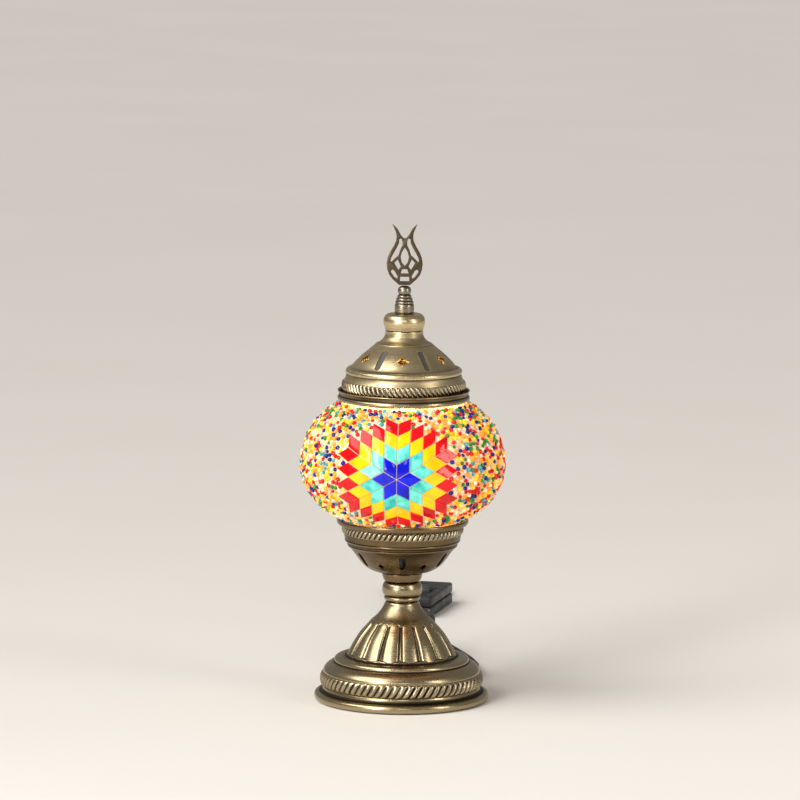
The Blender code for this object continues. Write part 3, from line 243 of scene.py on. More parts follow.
# %% Sockets that can be added and multiplied
class Signal:
    """One output in a material's node tree."""

    def __init__(self, tree, socket=None):
        self.tree = tree
        self.socket = socket

    def node(self, kind, settings=None, inputs=None, output=0):
        """Adds a node: its settings first, then the values or signals of its sockets."""
        made = self.tree.nodes.new(kind)
        for name, value in (settings or {}).items():
            if name == "stops":
                set_stops(made.color_ramp, value)
            else:
                setattr(made, name, value)
        for name, value in (inputs or {}).items():
            if isinstance(value, Signal):
                self.tree.links.new(value.socket, made.inputs[name])
            else:
                made.inputs[name].default_value = value
        return Signal(self.tree, made.outputs[output])

    def math(self, operation, *values):
        return self.node("ShaderNodeMath", {"operation": operation}, dict(enumerate(values)))

    def __add__(self, other):
        return self.math("ADD", self, other)

    def __sub__(self, other):
        return self.math("SUBTRACT", self, other)

    def __rsub__(self, other):
        return self.math("SUBTRACT", other, self)

    def __mul__(self, other):
        return self.math("MULTIPLY", self, other)

    def clamped(self):
        return self.node("ShaderNodeClamp", None, {"Value": self})

    __radd__ = __add__
    __rmul__ = __mul__


def set_stops(ramp, stops):
    """Gives a colour ramp its stops, each a position and a grey level."""
    for number, (position, level) in enumerate(stops):
        stop = ramp.elements[number] if number < 2 else ramp.elements.new(position)
        stop.position = position
        stop.color = (level, level, level, 1.0)


def place(signal):
    """Where a point is on its piece, in metres."""
    return signal.node("ShaderNodeTexCoord", output=3)


def grain(signal, scale, detail=2.0, stretch=None):
    """Soft noise from 0 to 1, a little finer with more detail, stretched along the axes."""
    where = place(signal)
    if stretch is not None:
        where = where.node("ShaderNodeMapping", None, {"Vector": where, "Scale": stretch})
    inputs = {"Vector": where, "Scale": scale, "Detail": detail}
    return signal.node("ShaderNodeTexNoise", None, inputs)


def ramp(signal, *stops):
    """A signal reshaped by a ramp's stops."""
    return signal.node("ShaderNodeValToRGB", {"stops": stops}, {"Fac": signal})


def patches(start, scale, detail, low, high):
    """Soft patches of noise, 0 where it is under low and 1 over high."""
    return ramp(grain(start, scale, detail), (low, 0.0), (high, 1.0))


def blend(signal, first, second):
    """The colour first where the signal is 0 and second where it is 1."""
    inputs = {0: signal}
    for slot, colour in ((6, first), (7, second)):
        inputs[slot] = colour if isinstance(colour, Signal) else (*colour, 1.0)
    return signal.node("ShaderNodeMix", {"data_type": "RGBA"}, inputs, output=2)


def relief(height, depth, strength=1.0):
    """A normal that a height signal bends, its depth in metres."""
    inputs = {"Height": height, "Distance": depth, "Strength": strength}
    return height.node("ShaderNodeBump", None, inputs)


def finish(name, wiring, **constants):
    """A material: constants go on the shader's own sockets, and wiring gives what varies."""
    material = bpy.data.materials.new(name)
    material.use_nodes = True
    tree = material.node_tree
    shader = tree.nodes["Principled BSDF"]
    for key, value in constants.items():
        shader.inputs[key.replace("_", " ")].default_value = value
    for key, signal in wiring(Signal(tree)).items():
        tree.links.new(signal.socket, shader.inputs[key])
    return material


# %% [markdown]
# ## Antique brass
# The brass is brushed round the lathe, darkened with a chemical patina and rubbed bright again, so
# the dark stays in the hollows and the ridges shine. Each piece of relief carries a value, hollow,
# that says how deep in a groove a point lies. The material darkens and dulls by it, which is partly
# that patina and partly painted shade, the dark that falls into grooves and coves. It also adds
# soft clouds of patina, and a fine ring grain gives the brushed streaks.

# %% Brass finishes
WORN_GAIN = 1.3    # how much paler a worn ridge is


def brass(name, bright, dark, patina, roughness):
    """Brushed brass whose clouds are patina and whose hollows are dark with patina and painted
    shade.
    """
    def wiring(start):
        hollow = start.node("ShaderNodeAttribute", {"attribute_name": "hollow"}, output=2)
        clouds = patches(start, 55.0, 3.0, 0.35, 0.75)
        rings = grain(start, 1.0, 3.0, (12.0, 12.0, 1600.0))
        scuffs = patches(start, 420.0, 2.0, 0.5, 0.8)
        # Painted shade: hollow darkens grooves and coves, together with the patina that lies in
        # them.
        depth = (hollow * 2.2 + clouds * patina + rings * 0.35 - 0.12).clamped()
        ridge = (hollow * -0.7 - 0.12).clamped()
        colour = blend(depth, bright, dark)
        worn = blend(ridge, colour, [WORN_GAIN * level for level in bright])
        dulled = depth * 0.24 + rings * 0.14 + scuffs * 0.08 - ridge * 0.08
        rough = (dulled + roughness).clamped()
        return {"Base Color": worn, "Roughness": rough, "Normal": relief(rings, 0.00006, 0.6)}
    return finish(name, wiring, Metallic=1.0, Anisotropic=0.55)


# The dark colour of each finish fills its hollows: patina, and painted shade in the grooves.
antique_brass = brass("antique_brass", (0.33, 0.265, 0.155), (0.028, 0.020, 0.012), 0.5, 0.18)
cap_brass = brass("cap_brass", (0.56, 0.45, 0.26), (0.055, 0.040, 0.025), 0.4, 0.2)
rope_brass = brass("rope_brass", (0.34, 0.28, 0.18), (0.012, 0.008, 0.005), 1.0, 0.2)
dark_brass = brass("dark_brass", (0.19, 0.135, 0.07), (0.018, 0.012, 0.007), 0.55, 0.18)
bronze_plate = brass("bronze_plate", (0.075, 0.056, 0.034), (0.016, 0.011, 0.007), 0.5, 0.38)
finial_brass = brass("finial_brass", (0.25, 0.215, 0.16), (0.025, 0.02, 0.014), 0.6, 0.2)
grey_brass = brass("grey_brass", (0.13, 0.12, 0.105), (0.03, 0.027, 0.024), 0.5, 0.42)
plain_brass = brass("plain_brass", (0.72, 0.52, 0.24), (0.25, 0.15, 0.06), 0.2, 0.25)
zinc_steel = brass("zinc_steel", (0.55, 0.56, 0.58), (0.17, 0.17, 0.18), 0.3, 0.3)
print("metal finishes ready")


# %% [markdown]
# ## Relief
# Pressed brass is a profile turned round an axis. An outline of a few points is softened by cutting
# its corners twice, the way a spun sheet rounds over its form, and one spin makes the skin. Ropes
# and flutes are then moves of the points by a rule of their angle and height.

# %% Turned pieces
def softened(outline, cuts=2):
    """An open outline whose corners are cut, its ends kept."""
    for _ in range(cuts):
        line = [outline[0]]
        for (ax, az), (bx, bz) in zip(outline, outline[1:]):
            line.append((0.75 * ax + 0.25 * bx, 0.75 * az + 0.25 * bz))
            line.append((0.25 * ax + 0.75 * bx, 0.25 * az + 0.75 * bz))
        outline = line + [outline[-1]]
    return outline


def inner_wall(outline, wall, every=4):
    """The way back up an outline that runs down, a wall thickness inside it, with fewer points."""
    kept = outline[::every]
    if kept[-1] != outline[-1]:
        kept.append(outline[-1])
    back = []
    for number, (radius, z) in enumerate(kept):
        ax, az = kept[max(0, number - 1)]
        bx, bz = kept[min(len(kept) - 1, number + 1)]
        length = hypot(bx - ax, bz - az)
        back.append((max(0.5, radius + wall * (bz - az) / length), z - wall * (bx - ax) / length))
    return back[::-1]


def spun(outline, steps, closed=True):
    """A bmesh turned from an outline of radii and heights in millimetres."""
    bm = bmesh.new()
    ring = [bm.verts.new((radius * MM, 0.0, z * MM)) for radius, z in outline]
    edges = [bm.edges.new(pair) for pair in zip(ring, ring[1:])]
    if closed:
        edges.append(bm.edges.new((ring[-1], ring[0])))
    bmesh.ops.spin(bm, geom=ring + edges, cent=(0, 0, 0), axis=(0, 0, 1), angle=2 * pi,
                   steps=steps, use_merge=True)
    bmesh.ops.remove_doubles(bm, verts=bm.verts, dist=1e-6)
    bmesh.ops.recalc_face_normals(bm, faces=bm.faces)
    return bm


def mark_hollows(mesh, reach, passes):
    """Stores how hollow the surface is at each point: 1 deep in a groove, -1 on a ridge."""
    count = len(mesh.vertices)
    spots = np.empty(count * 3)
    normals = np.empty(count * 3)
    ends = np.empty(len(mesh.edges) * 2, int)
    mesh.vertices.foreach_get("co", spots)
    mesh.vertices.foreach_get("normal", normals)
    mesh.edges.foreach_get("vertices", ends)
    spots = spots.reshape(-1, 3)
    normals = normals.reshape(-1, 3)
    first, last = ends.reshape(-1, 2).T
    step = spots[last] - spots[first]
    square = np.maximum((step * step).sum(1), 1e-12)
    bend = np.zeros(count)
    joined = np.zeros(count)
    np.add.at(bend, first, 2 * (step * normals[first]).sum(1) / square)
    np.add.at(bend, last, -2 * (step * normals[last]).sum(1) / square)
    np.add.at(joined, first, 1)
    np.add.at(joined, last, 1)
    hollow = np.clip(bend / np.maximum(joined, 1) * reach, -1, 1)
    for _ in range(passes):
        spread = np.zeros(count)
        np.add.at(spread, first, hollow[last])
        np.add.at(spread, last, hollow[first])
        hollow = 0.5 * hollow + 0.5 * spread / np.maximum(joined, 1)
    mesh.attributes.new("hollow", "FLOAT", "POINT").data.foreach_set("value",
                                                                     hollow.astype(np.float32))


def made(bm, name, material, body, nodes=(), slot=None, smooth=40.0, reach=0.0012, passes=2):
    """Turns a bmesh into a piece that rides on a body and stands for solid nodes."""
    mesh = bpy.data.meshes.new(name)
    bm.to_mesh(mesh)
    bm.free()
    mesh.shade_smooth()
    mesh.set_sharp_from_angle(angle=radians(smooth))
    mark_hollows(mesh, reach, passes)
    mesh.materials.append(material)
    piece = placed(name, mesh)
    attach(piece, body)
    if nodes:
        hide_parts(*nodes)
    print(name, len(mesh.polygons), "faces")


# %% Rope bands
ROPE_ROWS = 10
ROPE_BACK = 1.4        # how far a rope's flat back lies inside its line
STRAND_STEPS = 8


def rope_band(name, radius, low, high, bulge, strands, lean, depth, body, material, slot):
    """A half-round band with slanting strands rolled in it; lean is how many strands it crosses."""
    middle = (low + high) / 2
    half = (high - low) / 2
    outline = [(radius - ROPE_BACK, high)]
    for k in range(ROPE_ROWS + 1):
        angle = pi / 2 - pi * k / ROPE_ROWS
        outline.append((radius + bulge * cos(angle), middle + half * sin(angle)))
    outline.append((radius - ROPE_BACK, low))
    bm = spun(outline, strands * STRAND_STEPS)
    for vert in bm.verts:
        away = vert.co.xy.length / MM
        across = (vert.co.z / MM - middle) / half
        if away < radius - 0.01 or abs(across) > 0.999:
            continue
        turn = strands * np.arctan2(vert.co.y, vert.co.x) + lean * pi * across
        groove = 1.0 - abs(sin(turn / 2)) ** 1.1
        vert.co.xy *= 1.0 - depth * groove * (1.0 - across ** 4) / away
    made(bm, name, material, body, slot=slot, smooth=60.0, reach=0.0018, passes=1)


# %% [markdown]
# ## The foot
# The foot is one pressed sheet: a rolled edge, a dark cove, a rope band, a full bulge, a bead and a
# dome with sixteen flutes that end in small arches under a plain cone. The flutes are moves of the
# turned skin: narrow valleys, full panels between them, and arched ends.

# %% Foot
FLUTES = 16
FLUTE_TURN = radians(-91.6)    # azimuth of one valley
FLUTE_FOOT_Z = 27.5
FLUTE_TOP_Z = 49.6
FLUTE_ARCH = 2.6               # how far the arches fall towards the valleys
PANEL_SINK = 0.9
PANEL_CROWN = 1.0
VALLEY_DEPTH = 1.1
VALLEY_PLACE = 0.425           # where the two dark lines of a valley lie, as a share of a flute
VALLEY_HALF = 0.08
FLUTE_STEPS = 24
WALL = 0.9                     # the pressed sheet


def flute_relief(azimuth, z):
    """How far the fluted dome stands out at a point, in millimetres."""
    across = ((azimuth - FLUTE_TURN) * FLUTES / (2 * pi)) % 1.0 - 0.5
    arch_top = FLUTE_TOP_Z - FLUTE_ARCH * (2 * across) ** 2
    arch_foot = FLUTE_FOOT_Z + 0.5 + 0.9 * (2 * across) ** 2
    above_foot = eased(z, arch_foot - 0.35, arch_foot + 0.35)
    inside = above_foot * (1.0 - eased(z, arch_top - 0.5, arch_top + 0.3))
    valley = 1.0 - eased(abs(abs(across) - VALLEY_PLACE), 0.0, VALLEY_HALF)
    crown = PANEL_CROWN * (1.0 - (2 * across) ** 2)
    return inside * (crown - PANEL_SINK - VALLEY_DEPTH * valley)


def on_dome(z):
    """Whether that height is on the fluted dome."""
    return FLUTE_FOOT_Z - 1 < z < FLUTE_TOP_Z + 1


foot_outline = softened([
    (8.0, 60.7), (9.7, 60.7), (10.4, 60.0), (10.9, 58.5), (12.0, 56.4), (13.4, 54.2), (15.4, 51.8),
    (17.6, 49.9), (19.4, 48.2), (21.2, 46.0), (23.6, 43.4), (26.0, 40.5), (28.2, 37.2),
    (30.2, 33.8), (31.6, 31.2), (32.6, 29.2), (33.2, 27.9), (33.9, 27.0), (35.4, 26.9),
    (37.6, 26.8), (39.6, 26.5), (40.7, 25.7), (41.1, 24.7), (41.0, 23.7), (41.7, 23.4),
    (43.2, 22.9), (45.2, 21.7), (46.8, 20.2), (47.7, 18.6), (47.9, 17.4), (47.6, 16.8),
    (47.2, 16.4), (47.2, 9.2), (47.9, 8.5), (48.1, 7.4), (48.4, 6.3), (49.4, 5.6), (51.2, 5.3),
    (52.6, 4.8), (53.2, 3.6), (53.2, 1.9), (52.4, 0.7), (51.0, 0.4)])
foot_skin = [foot_outline[0]]
for (ax, az), (bx, bz) in zip(foot_outline, foot_outline[1:]):
    pieces = 2 if on_dome((az + bz) / 2) else 1
    for k in range(1, pieces + 1):
        foot_skin.append((ax + (bx - ax) * k / pieces, az + (bz - az) * k / pieces))
foot_bm = spun(foot_skin + inner_wall(foot_outline, WALL, 8), FLUTES * FLUTE_STEPS)
for vert in foot_bm.verts:
    z = vert.co.z / MM
    if on_dome(z):
        radius = vert.co.xy.length / MM
        vert.co.xy *= 1.0 + flute_relief(np.arctan2(vert.co.y, vert.co.x), z) / radius
made(foot_bm, "foot_shell", antique_brass, "lamp", ["base_shell"], "antique_brass",
     smooth=50.0, reach=0.0036)
rope_band("foot_rope", 47.9, 9.0, 17.0, 1.9, 70, -0.95, 1.55, "lamp", rope_brass, "antique_brass")

# %% [markdown]
# ## Collar and cup
# The cup is the foot's mirror image: it opens upwards to carry the globe. Two raised lines and a
# rope run under its rim, and its wall is pierced with slots and small stars, which a sharp cutter
# takes out of the finished skin just as the punch does.

# %% Cutting through a wall
PIERCE_DEPTH = 5.0


def stadium_points(length, width, steps=8):
    """A flat outline with round ends, its length along Y."""
    radius = width / 2
    points = []
    for centre, first in ((length / 2 - radius, 0.0), (radius - length / 2, pi)):
        for k in range(steps + 1):
            angle = first + pi * k / steps
            points.append((radius * cos(angle), centre + radius * sin(angle)))
    return points


def star_points(reach, waist, steps=4):
    """A four-pointed star with hollow sides."""
    points = []
    for k in range(4):
        tip, side, after = (radians(90 * k + turn) for turn in (0, 45, 90))
        start = Vector((reach * cos(tip), reach * sin(tip)))
        middle = Vector((waist * cos(side), waist * sin(side)))
        end = Vector((reach * cos(after), reach * sin(after)))
        for j in range(steps):
            t = j / steps
            points.append(tuple(start * (1 - t) ** 2 + middle * 2 * t * (1 - t) + end * t * t))
    return points


def wall_frame(level, azimuth, lean):
    """A frame at a radius and height of a turned wall: Y climbs the wall, Z points out of it.
    Lean is the wall's fall from upright."""
    distance, z = level
    turn = Matrix.Rotation(azimuth + pi / 2, 4, "Z")
    tip = Matrix.Rotation(pi / 2 - lean, 4, "X")
    spot = Vector((distance * cos(azimuth), distance * sin(azimuth), z)) * MM
    return Matrix.Translation(spot) @ turn @ tip


def plate_mesh(bm, points, low, high, stand):
    """Adds a flat plate of an outline to a bmesh, between two levels of its own frame."""
    ring = [bm.verts.new((x * MM, y * MM, low * MM)) for x, y in points]
    face = bm.faces.new(ring)
    grown = bmesh.ops.extrude_face_region(bm, geom=[face])
    top = [part for part in grown["geom"] if isinstance(part, bmesh.types.BMVert)]
    bmesh.ops.translate(bm, verts=top, vec=(0, 0, (high - low) * MM))
    bmesh.ops.transform(bm, matrix=stand, verts=ring + top)
    bmesh.ops.recalc_face_normals(bm, faces=list({f for v in ring + top for f in v.link_faces}))


def pierced(bm, holes):
    """The bmesh with plates of those outlines and frames cut out of it."""
    bodies = []
    tool = bmesh.new()
    for points, stand in holes:
        plate_mesh(tool, points, -PIERCE_DEPTH, PIERCE_DEPTH, stand)
    for number, part in enumerate((bm, tool)):
        mesh = bpy.data.meshes.new(f"part_{number}")
        part.to_mesh(mesh)
        part.free()
        bodies.append(placed(f"part_{number}", mesh))
    cut = bodies[0].modifiers.new("cut", "BOOLEAN")
    cut.object = bodies[1]
    cut.solver = "EXACT"
    bpy.context.view_layer.update()
    result = bmesh.new()
    result.from_object(bodies[0], bpy.context.evaluated_depsgraph_get())
    for body in bodies:
        bpy.data.objects.remove(body)
    return result


# %% Collar and cup
collar_outline = softened([
    (5.5, 72.9), (9.6, 72.9), (10.9, 72.4), (11.6, 71.3), (12.1, 69.6), (12.2, 67.8), (12.0, 66.2),
    (11.4, 65.0), (10.5, 64.5), (10.3, 64.0), (10.9, 63.5), (11.1, 62.7), (10.8, 61.9),
    (10.2, 61.4), (9.8, 61.1), (5.5, 61.1)])
made(spun(collar_outline, 96), "collar", antique_brass, "lamp", ["neck_collar"], "dark_brass")

CUP_STEPS = 192
cup_line = softened([
    (35.7, 107.6), (36.2, 107.4), (36.1, 106.8), (36.0, 103.6), (35.9, 102.8), (35.5, 100.9),
    (35.2, 99.6), (35.0, 98.9), (35.2, 98.4), (34.9, 97.8), (34.2, 97.3), (33.7, 96.4),
    (33.4, 95.7), (33.5, 95.2), (33.0, 94.6), (32.3, 94.1), (31.2, 93.0), (29.9, 91.4),
    (28.2, 89.0), (26.3, 86.3), (24.5, 84.1), (22.6, 82.3), (20.4, 80.9), (17.8, 79.8),
    (15.2, 79.2), (13.4, 79.0), (12.6, 78.8), (12.2, 78.4), (12.4, 77.9), (12.3, 77.2),
    (11.9, 75.6), (11.3, 74.0), (10.9, 73.3), (8.0, 73.3)])
CUP_SLOT = (27.6, 88.0)
CUP_STAR = (25.4, 85.4)
cup_holes = []
for number in range(6):
    front = radians(-90.0 + 60.0 * number)
    stand = wall_frame(CUP_SLOT, front, radians(-37))
    cup_holes.append((stadium_points(11.0, 4.0), stand))
    stand = wall_frame(CUP_STAR, front + radians(30.0), radians(-40))
    cup_holes.append((star_points(2.8, 0.9), stand))
cup_bm = pierced(spun(cup_line + inner_wall(cup_line, WALL), CUP_STEPS), cup_holes)
made(cup_bm, "cup", dark_brass, "lamp", ["lower_cup"], "dark_brass")
rope_band("cup_rope", 36.0, 102.8, 107.6, 1.15, 68, -0.7, 1.1, "lamp", rope_brass, "dark_brass")

# %% Rings that grip the globe
lower_ring_outline = softened([
    (5.6, 108.9), (5.6, 107.9), (37.4, 107.9), (38.8, 108.0), (39.8, 108.8), (40.1, 110.2),
    (39.9, 111.4), (39.4, 111.8), (39.0, 111.3), (38.8, 110.0), (38.3, 109.1), (37.2, 108.9)])
made(spun(lower_ring_outline, 160), "lower_ring", dark_brass, "lamp", ["lower_gallery"],
     "antique_brass")
upper_ring_outline = softened([
    (31.4, 187.4), (31.4, 186.4), (36.5, 186.2), (37.9, 185.6), (38.4, 184.7), (39.2, 184.2),
    (40.0, 184.7), (40.2, 185.8), (39.8, 186.8), (39.2, 187.2), (39.2, 188.2), (39.6, 189.4),
    (40.2, 190.1), (40.0, 190.5), (39.5, 190.4), (39.1, 189.6), (38.8, 188.4), (38.2, 187.6),
    (36.6, 187.4), (35.0, 187.4)])
made(spun(upper_ring_outline, 160), "upper_ring", antique_brass, "lamp", ["upper_gallery"],
     "antique_brass")

# %% [markdown]
# ## The cap
# The cap sits loosely in the upper ring. A rope runs round its foot, then a full bead and a hollow
# cone that flares up into a neck. Six stars are pierced through the cone, and between them six
# pressed slots keep the grey of the raw sheet: a plate just under a slot's opening makes its floor.

# %% Cap
cap_line = softened([
    (2.9, 226.7), (11.0, 226.7), (11.5, 226.5), (11.5, 225.4), (11.6, 224.2), (12.0, 222.8),
    (13.0, 221.3), (14.6, 219.9), (16.2, 219.1), (16.9, 218.9), (17.2, 218.4), (18.4, 217.4),
    (20.6, 215.6), (24.9, 212.0), (28.5, 208.5), (31.0, 205.6), (32.4, 204.4), (33.3, 204.1),
    (34.3, 203.7), (35.1, 202.9), (35.4, 202.0), (35.3, 201.1), (35.0, 200.6), (34.9, 199.8),
    (35.2, 198.6), (35.8, 197.2), (36.3, 196.2), (36.5, 195.2), (36.5, 191.0), (36.5, 189.4),
    (36.1, 188.2), (35.8, 188.0)])
CAP_STAR = (26.2, 210.7)
CAP_SLOT = (25.9, 210.9)
CAP_LEAN = radians(46.0)
cap_holes = []
slot_floors = bmesh.new()
for number in range(6):
    front = radians(-92.0 + 60.0 * number)
    cap_holes.append((star_points(4.5, 1.4), wall_frame(CAP_STAR, front, CAP_LEAN)))
    stand = wall_frame(CAP_SLOT, front + radians(30.0), CAP_LEAN)
    cap_holes.append((stadium_points(15.4, 4.0), stand))
    plate_mesh(slot_floors, stadium_points(16.2, 4.8), -1.7, -0.6, stand)
cap_bm = pierced(spun(cap_line + inner_wall(cap_line, WALL), CUP_STEPS), cap_holes)
made(cap_bm, "cap_skin", cap_brass, "cap", ["cap_shell"], "antique_brass")
made(slot_floors, "cap_slots", grey_brass, "cap", slot="antique_brass")
rope_band("cap_rope", 36.4, 190.1, 196.3, 1.35, 74, 0.85, 1.35, "cap", rope_brass, "antique_brass")

# %% Knob and finial foot
knob_outline = softened([
    (2.9, 237.0), (8.6, 237.0), (10.4, 236.6), (11.8, 235.4), (12.6, 233.4), (12.7, 231.6),
    (12.3, 229.8), (11.8, 228.4), (11.6, 227.6), (11.5, 227.0), (2.9, 227.0)])
made(spun(knob_outline, 128), "knob", cap_brass, "cap", ["cap_knob"], "antique_brass")
finial_outline = softened([
    (2.62, 245.2), (2.62, 237.4), (5.4, 237.3), (5.9, 237.7), (5.9, 242.0), (5.5, 242.7),
    (5.1, 242.9), (5.6, 243.4), (5.6, 244.1), (5.0, 244.6), (4.7, 244.8), (5.1, 245.3),
    (5.0, 246.0), (4.4, 246.5), (4.1, 246.7), (4.4, 247.2), (4.3, 247.8), (3.6, 248.2),
    (3.3, 248.5), (3.8, 249.2), (4.1, 250.6), (3.9, 252.0), (3.2, 253.0), (2.0, 253.7),
    (0.0, 253.8)])
finial_bm = spun([(0.0, 245.3)] + finial_outline, 64, closed=False)
made(finial_bm, "finial_foot", finial_brass, "finial", ["finial_base"], "antique_brass")


# %% Rounded copies of plain pieces
def rounded_copy(node, name, material, body, slot, width, segments=3, angle=30.0):
    """A copy of a solid node with its facets merged and its edges rounded."""
    bm = bmesh.new()
    bm.from_mesh(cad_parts[node].data)
    bmesh.ops.remove_doubles(bm, verts=bm.verts, dist=1e-6)
    bmesh.ops.dissolve_limit(bm, angle_limit=radians(2.0), verts=bm.verts, edges=bm.edges)
    sharp = [edge for edge in bm.edges
             if len(edge.link_faces) == 2 and edge.calc_face_angle() > radians(angle)]
    bmesh.ops.bevel(bm, geom=sharp, offset=width * MM, segments=segments, profile=0.5, material=-1,
                    affect="EDGES", clamp_overlap=True)
    made(bm, name, material, body, [node], slot)


rounded_copy("tulip_plate", "tulip", bronze_plate, "finial", "dark_brass", 0.28, 2, 40.0)

# %% [markdown]
# ## The globe's form
# The globe is a glass blank: a flattened ball, a little squarer above its widest level than below.
# Everything in the mosaic is laid by two numbers, the distance along the surface sideways and
# upwards from a medallion's middle, so one function turns those into a point on the glass.

# %% A point on the globe
GLOBE_RISE = 47.2
GLOBE_DROP = 42.3
RISE_POWER = 2.2
GLOBE_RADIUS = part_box("mosaic_layer")[1].x / MM
widest = max(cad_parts["mosaic_layer"].data.vertices, key=lambda vert: vert.co.xy.length)
GLOBE_LEVEL = widest.co.z / MM
MERIDIAN_STEPS = 400


def meridian(rise, power):
    """Distance along the globe from its widest level, with the radius and height there."""
    turns = np.linspace(0.0, pi / 2 - 0.02, MERIDIAN_STEPS)
    radius = GLOBE_RADIUS * np.cos(turns) ** (2 / power)
    height = rise * np.sin(turns) ** (2 / power)
    steps = np.hypot(np.diff(radius), np.diff(height))
    return np.concatenate([[0.0], np.cumsum(steps)]), radius, height


upper_line = meridian(GLOBE_RISE, RISE_POWER)
lower_line = meridian(GLOBE_DROP, 2.0)


def on_globe(azimuth, climb, sink=0.0):
    """A point and its outward direction, climb millimetres up the globe from its widest level."""
    along, radius, height = upper_line if climb >= 0 else lower_line
    sign = 1 if climb >= 0 else -1
    places = [abs(climb), abs(climb) + 0.4]
    spots = zip(np.interp(places, along, radius), np.interp(places, along, height))
    (ra, za), (rb, zb) = spots
    run = hypot(rb - ra, zb - za)
    out = Vector(((zb - za) / run, -sign * (rb - ra) / run))
    out = Vector((out.x * cos(azimuth), out.x * sin(azimuth), out.y)).normalized()
    point = Vector((ra * cos(azimuth), ra * sin(azimuth), GLOBE_LEVEL + sign * za))
    return point - out * sink, out


def globe_radius(climb):
    """Radius of the globe, climb millimetres up from its widest level."""
    along, radius, _ = upper_line if climb >= 0 else lower_line
    return float(np.interp(abs(climb), along, radius))


def climb_to(radius, line):
    """How far along a half of the globe its radius has shrunk to that."""
    along, radii, _ = line
    return float(np.interp(-radius, -radii, along))


GLOBE_BANDS = 40
TOP_CLIMB = climb_to(38.9, upper_line)
FOOT_CLIMB = -climb_to(40.2, lower_line)


def globe_skin(sink, wall, every, steps):
    """A turned skin of the globe's form, sunk under it, with a wall's thickness."""
    outline = []
    for k in range(GLOBE_BANDS + 1):
        point, _ = on_globe(0.0, TOP_CLIMB + (FOOT_CLIMB - TOP_CLIMB) * k / GLOBE_BANDS, sink)
        outline.append((point.x, point.z))
    return spun(outline + inner_wall(outline, wall, every), steps)


print("mosaic runs from", round(FOOT_CLIMB, 1), "to", round(TOP_CLIMB, 1), "mm along the glass")

# %% [markdown]
# ## Lit glass and grout
# The lamp is lit, so each tile glows in its own colour as well as catching the window's light. A
# glossy shader with some emission does both. Hand-cut glass is never even: soft streaks make it
# paler and deeper, and a slight swell bends its reflections. The grout is a rough warm white that
# glows most where it is thin.

# %% Glass and grout finishes
def lit_glass(name, deep, pale, glow, streak=95.0):
    """Coloured glass with light behind it: deep and pale are the ends of its streaks."""
    def wiring(start):
        streaks = patches(start, streak, 3.0, 0.32, 0.72)
        swell = grain(start, 210.0, 2.0)
        colour = blend(streaks, deep, pale)
        return {"Base Color": colour, "Emission Color": colour, "Roughness": swell * 0.12 + 0.02,
                "Normal": relief(swell, 0.00035, 0.7)}
    return finish(name, wiring, Emission_Strength=glow, Coat_Weight=0.15, Coat_Roughness=0.03,
                  Specular_IOR_Level=0.3)


blue_glass = lit_glass("blue_glass", (0.001, 0.001, 0.26), (0.003, 0.008, 0.60), 0.42)
teal_glass = lit_glass("teal_glass", (0.005, 0.34, 0.30), (0.20, 0.72, 0.58), 0.38, 150.0)
yellow_glass = lit_glass("yellow_glass", (0.80, 0.32, 0.001), (0.92, 0.48, 0.002), 0.56)
red_glass = lit_glass("red_glass", (0.40, 0.001, 0.003), (0.72, 0.003, 0.006), 0.42)


def grout_wiring(start):
    """Warm white, with thin bright places and coarse sand in it."""
    thin = patches(start, 130.0, 4.0, 0.3, 0.7)
    sand = grain(start, 1500.0, 3.0)
    colour = blend(thin, (0.70, 0.45, 0.22), (0.90, 0.72, 0.48))
    return {"Base Color": colour, "Emission Color": colour, "Roughness": sand * 0.3 + 0.35,
            "Normal": relief(sand, 0.0003, 0.5)}


grout = finish("grout", grout_wiring, Emission_Strength=0.26)

# %% [markdown]
# ## Grout skin, tiles and beads
# The grout is a turned skin just under the tiles' faces. Each medallion is a star of sixty equal
# rhombuses: six blue ones meet in the middle, and rings of teal, yellow and red follow. A tile is
# one flat face, given thickness and a small chamfer. Between the three medallions seed beads are
# strewn and then push each other apart until they lie packed, as shaken beads do.

# %% Grout skin
GROUT_SINK = 1.35
made(globe_skin(GROUT_SINK, 1.2, 4, 160), "grout_skin", grout, "lamp", ["mosaic_layer"], "mosaic")

# %% Star medallions
MEDALLIONS = 3
FIRST_MEDALLION = radians(-93.6)
TILE_SIDE = 9.05
TILE_GAP = 0.62
TILE_ROWS = 4
TILE_DEPTH = 1.9
TILE_SINK = 0.12      # how far its corners lie under the globe's form, as a mean
TILE_TILT = 0.12      # how far a corner strays from that
TILE_CHAMFER = 0.22
ROW_FINISHES = [("blue_tiles", blue_glass), ("teal_tiles", teal_glass),
                ("yellow_tiles", yellow_glass), ("red_tiles", red_glass)]


def laid(medallion, side, climb, sink):
    """The point on the globe at a place in a medallion, in millimetres from its middle."""
    middle = FIRST_MEDALLION + medallion * 2 * pi / MEDALLIONS
    return on_globe(middle + side / globe_radius(climb), climb, sink)[0]


def rhombuses(row):
    """Corners of the tiles in one row of the star, counted from its middle."""
    for sector in range(6):
        first, second = (Vector((cos(radians(60 * sector + turn)),
                                 sin(radians(60 * sector + turn))))
                         for turn in (-30, 30))
        for i in range(row + 1):
            corner = (first * i + second * (row - i)) * TILE_SIDE
            shape = [corner, corner + first * TILE_SIDE, corner + (first + second) * TILE_SIDE,
                     corner + second * TILE_SIDE]
            middle = (shape[0] + shape[2]) / 2
            inset = 1.0 - TILE_GAP / (TILE_SIDE * sin(radians(60)))
            yield [middle + (point - middle) * inset for point in shape]


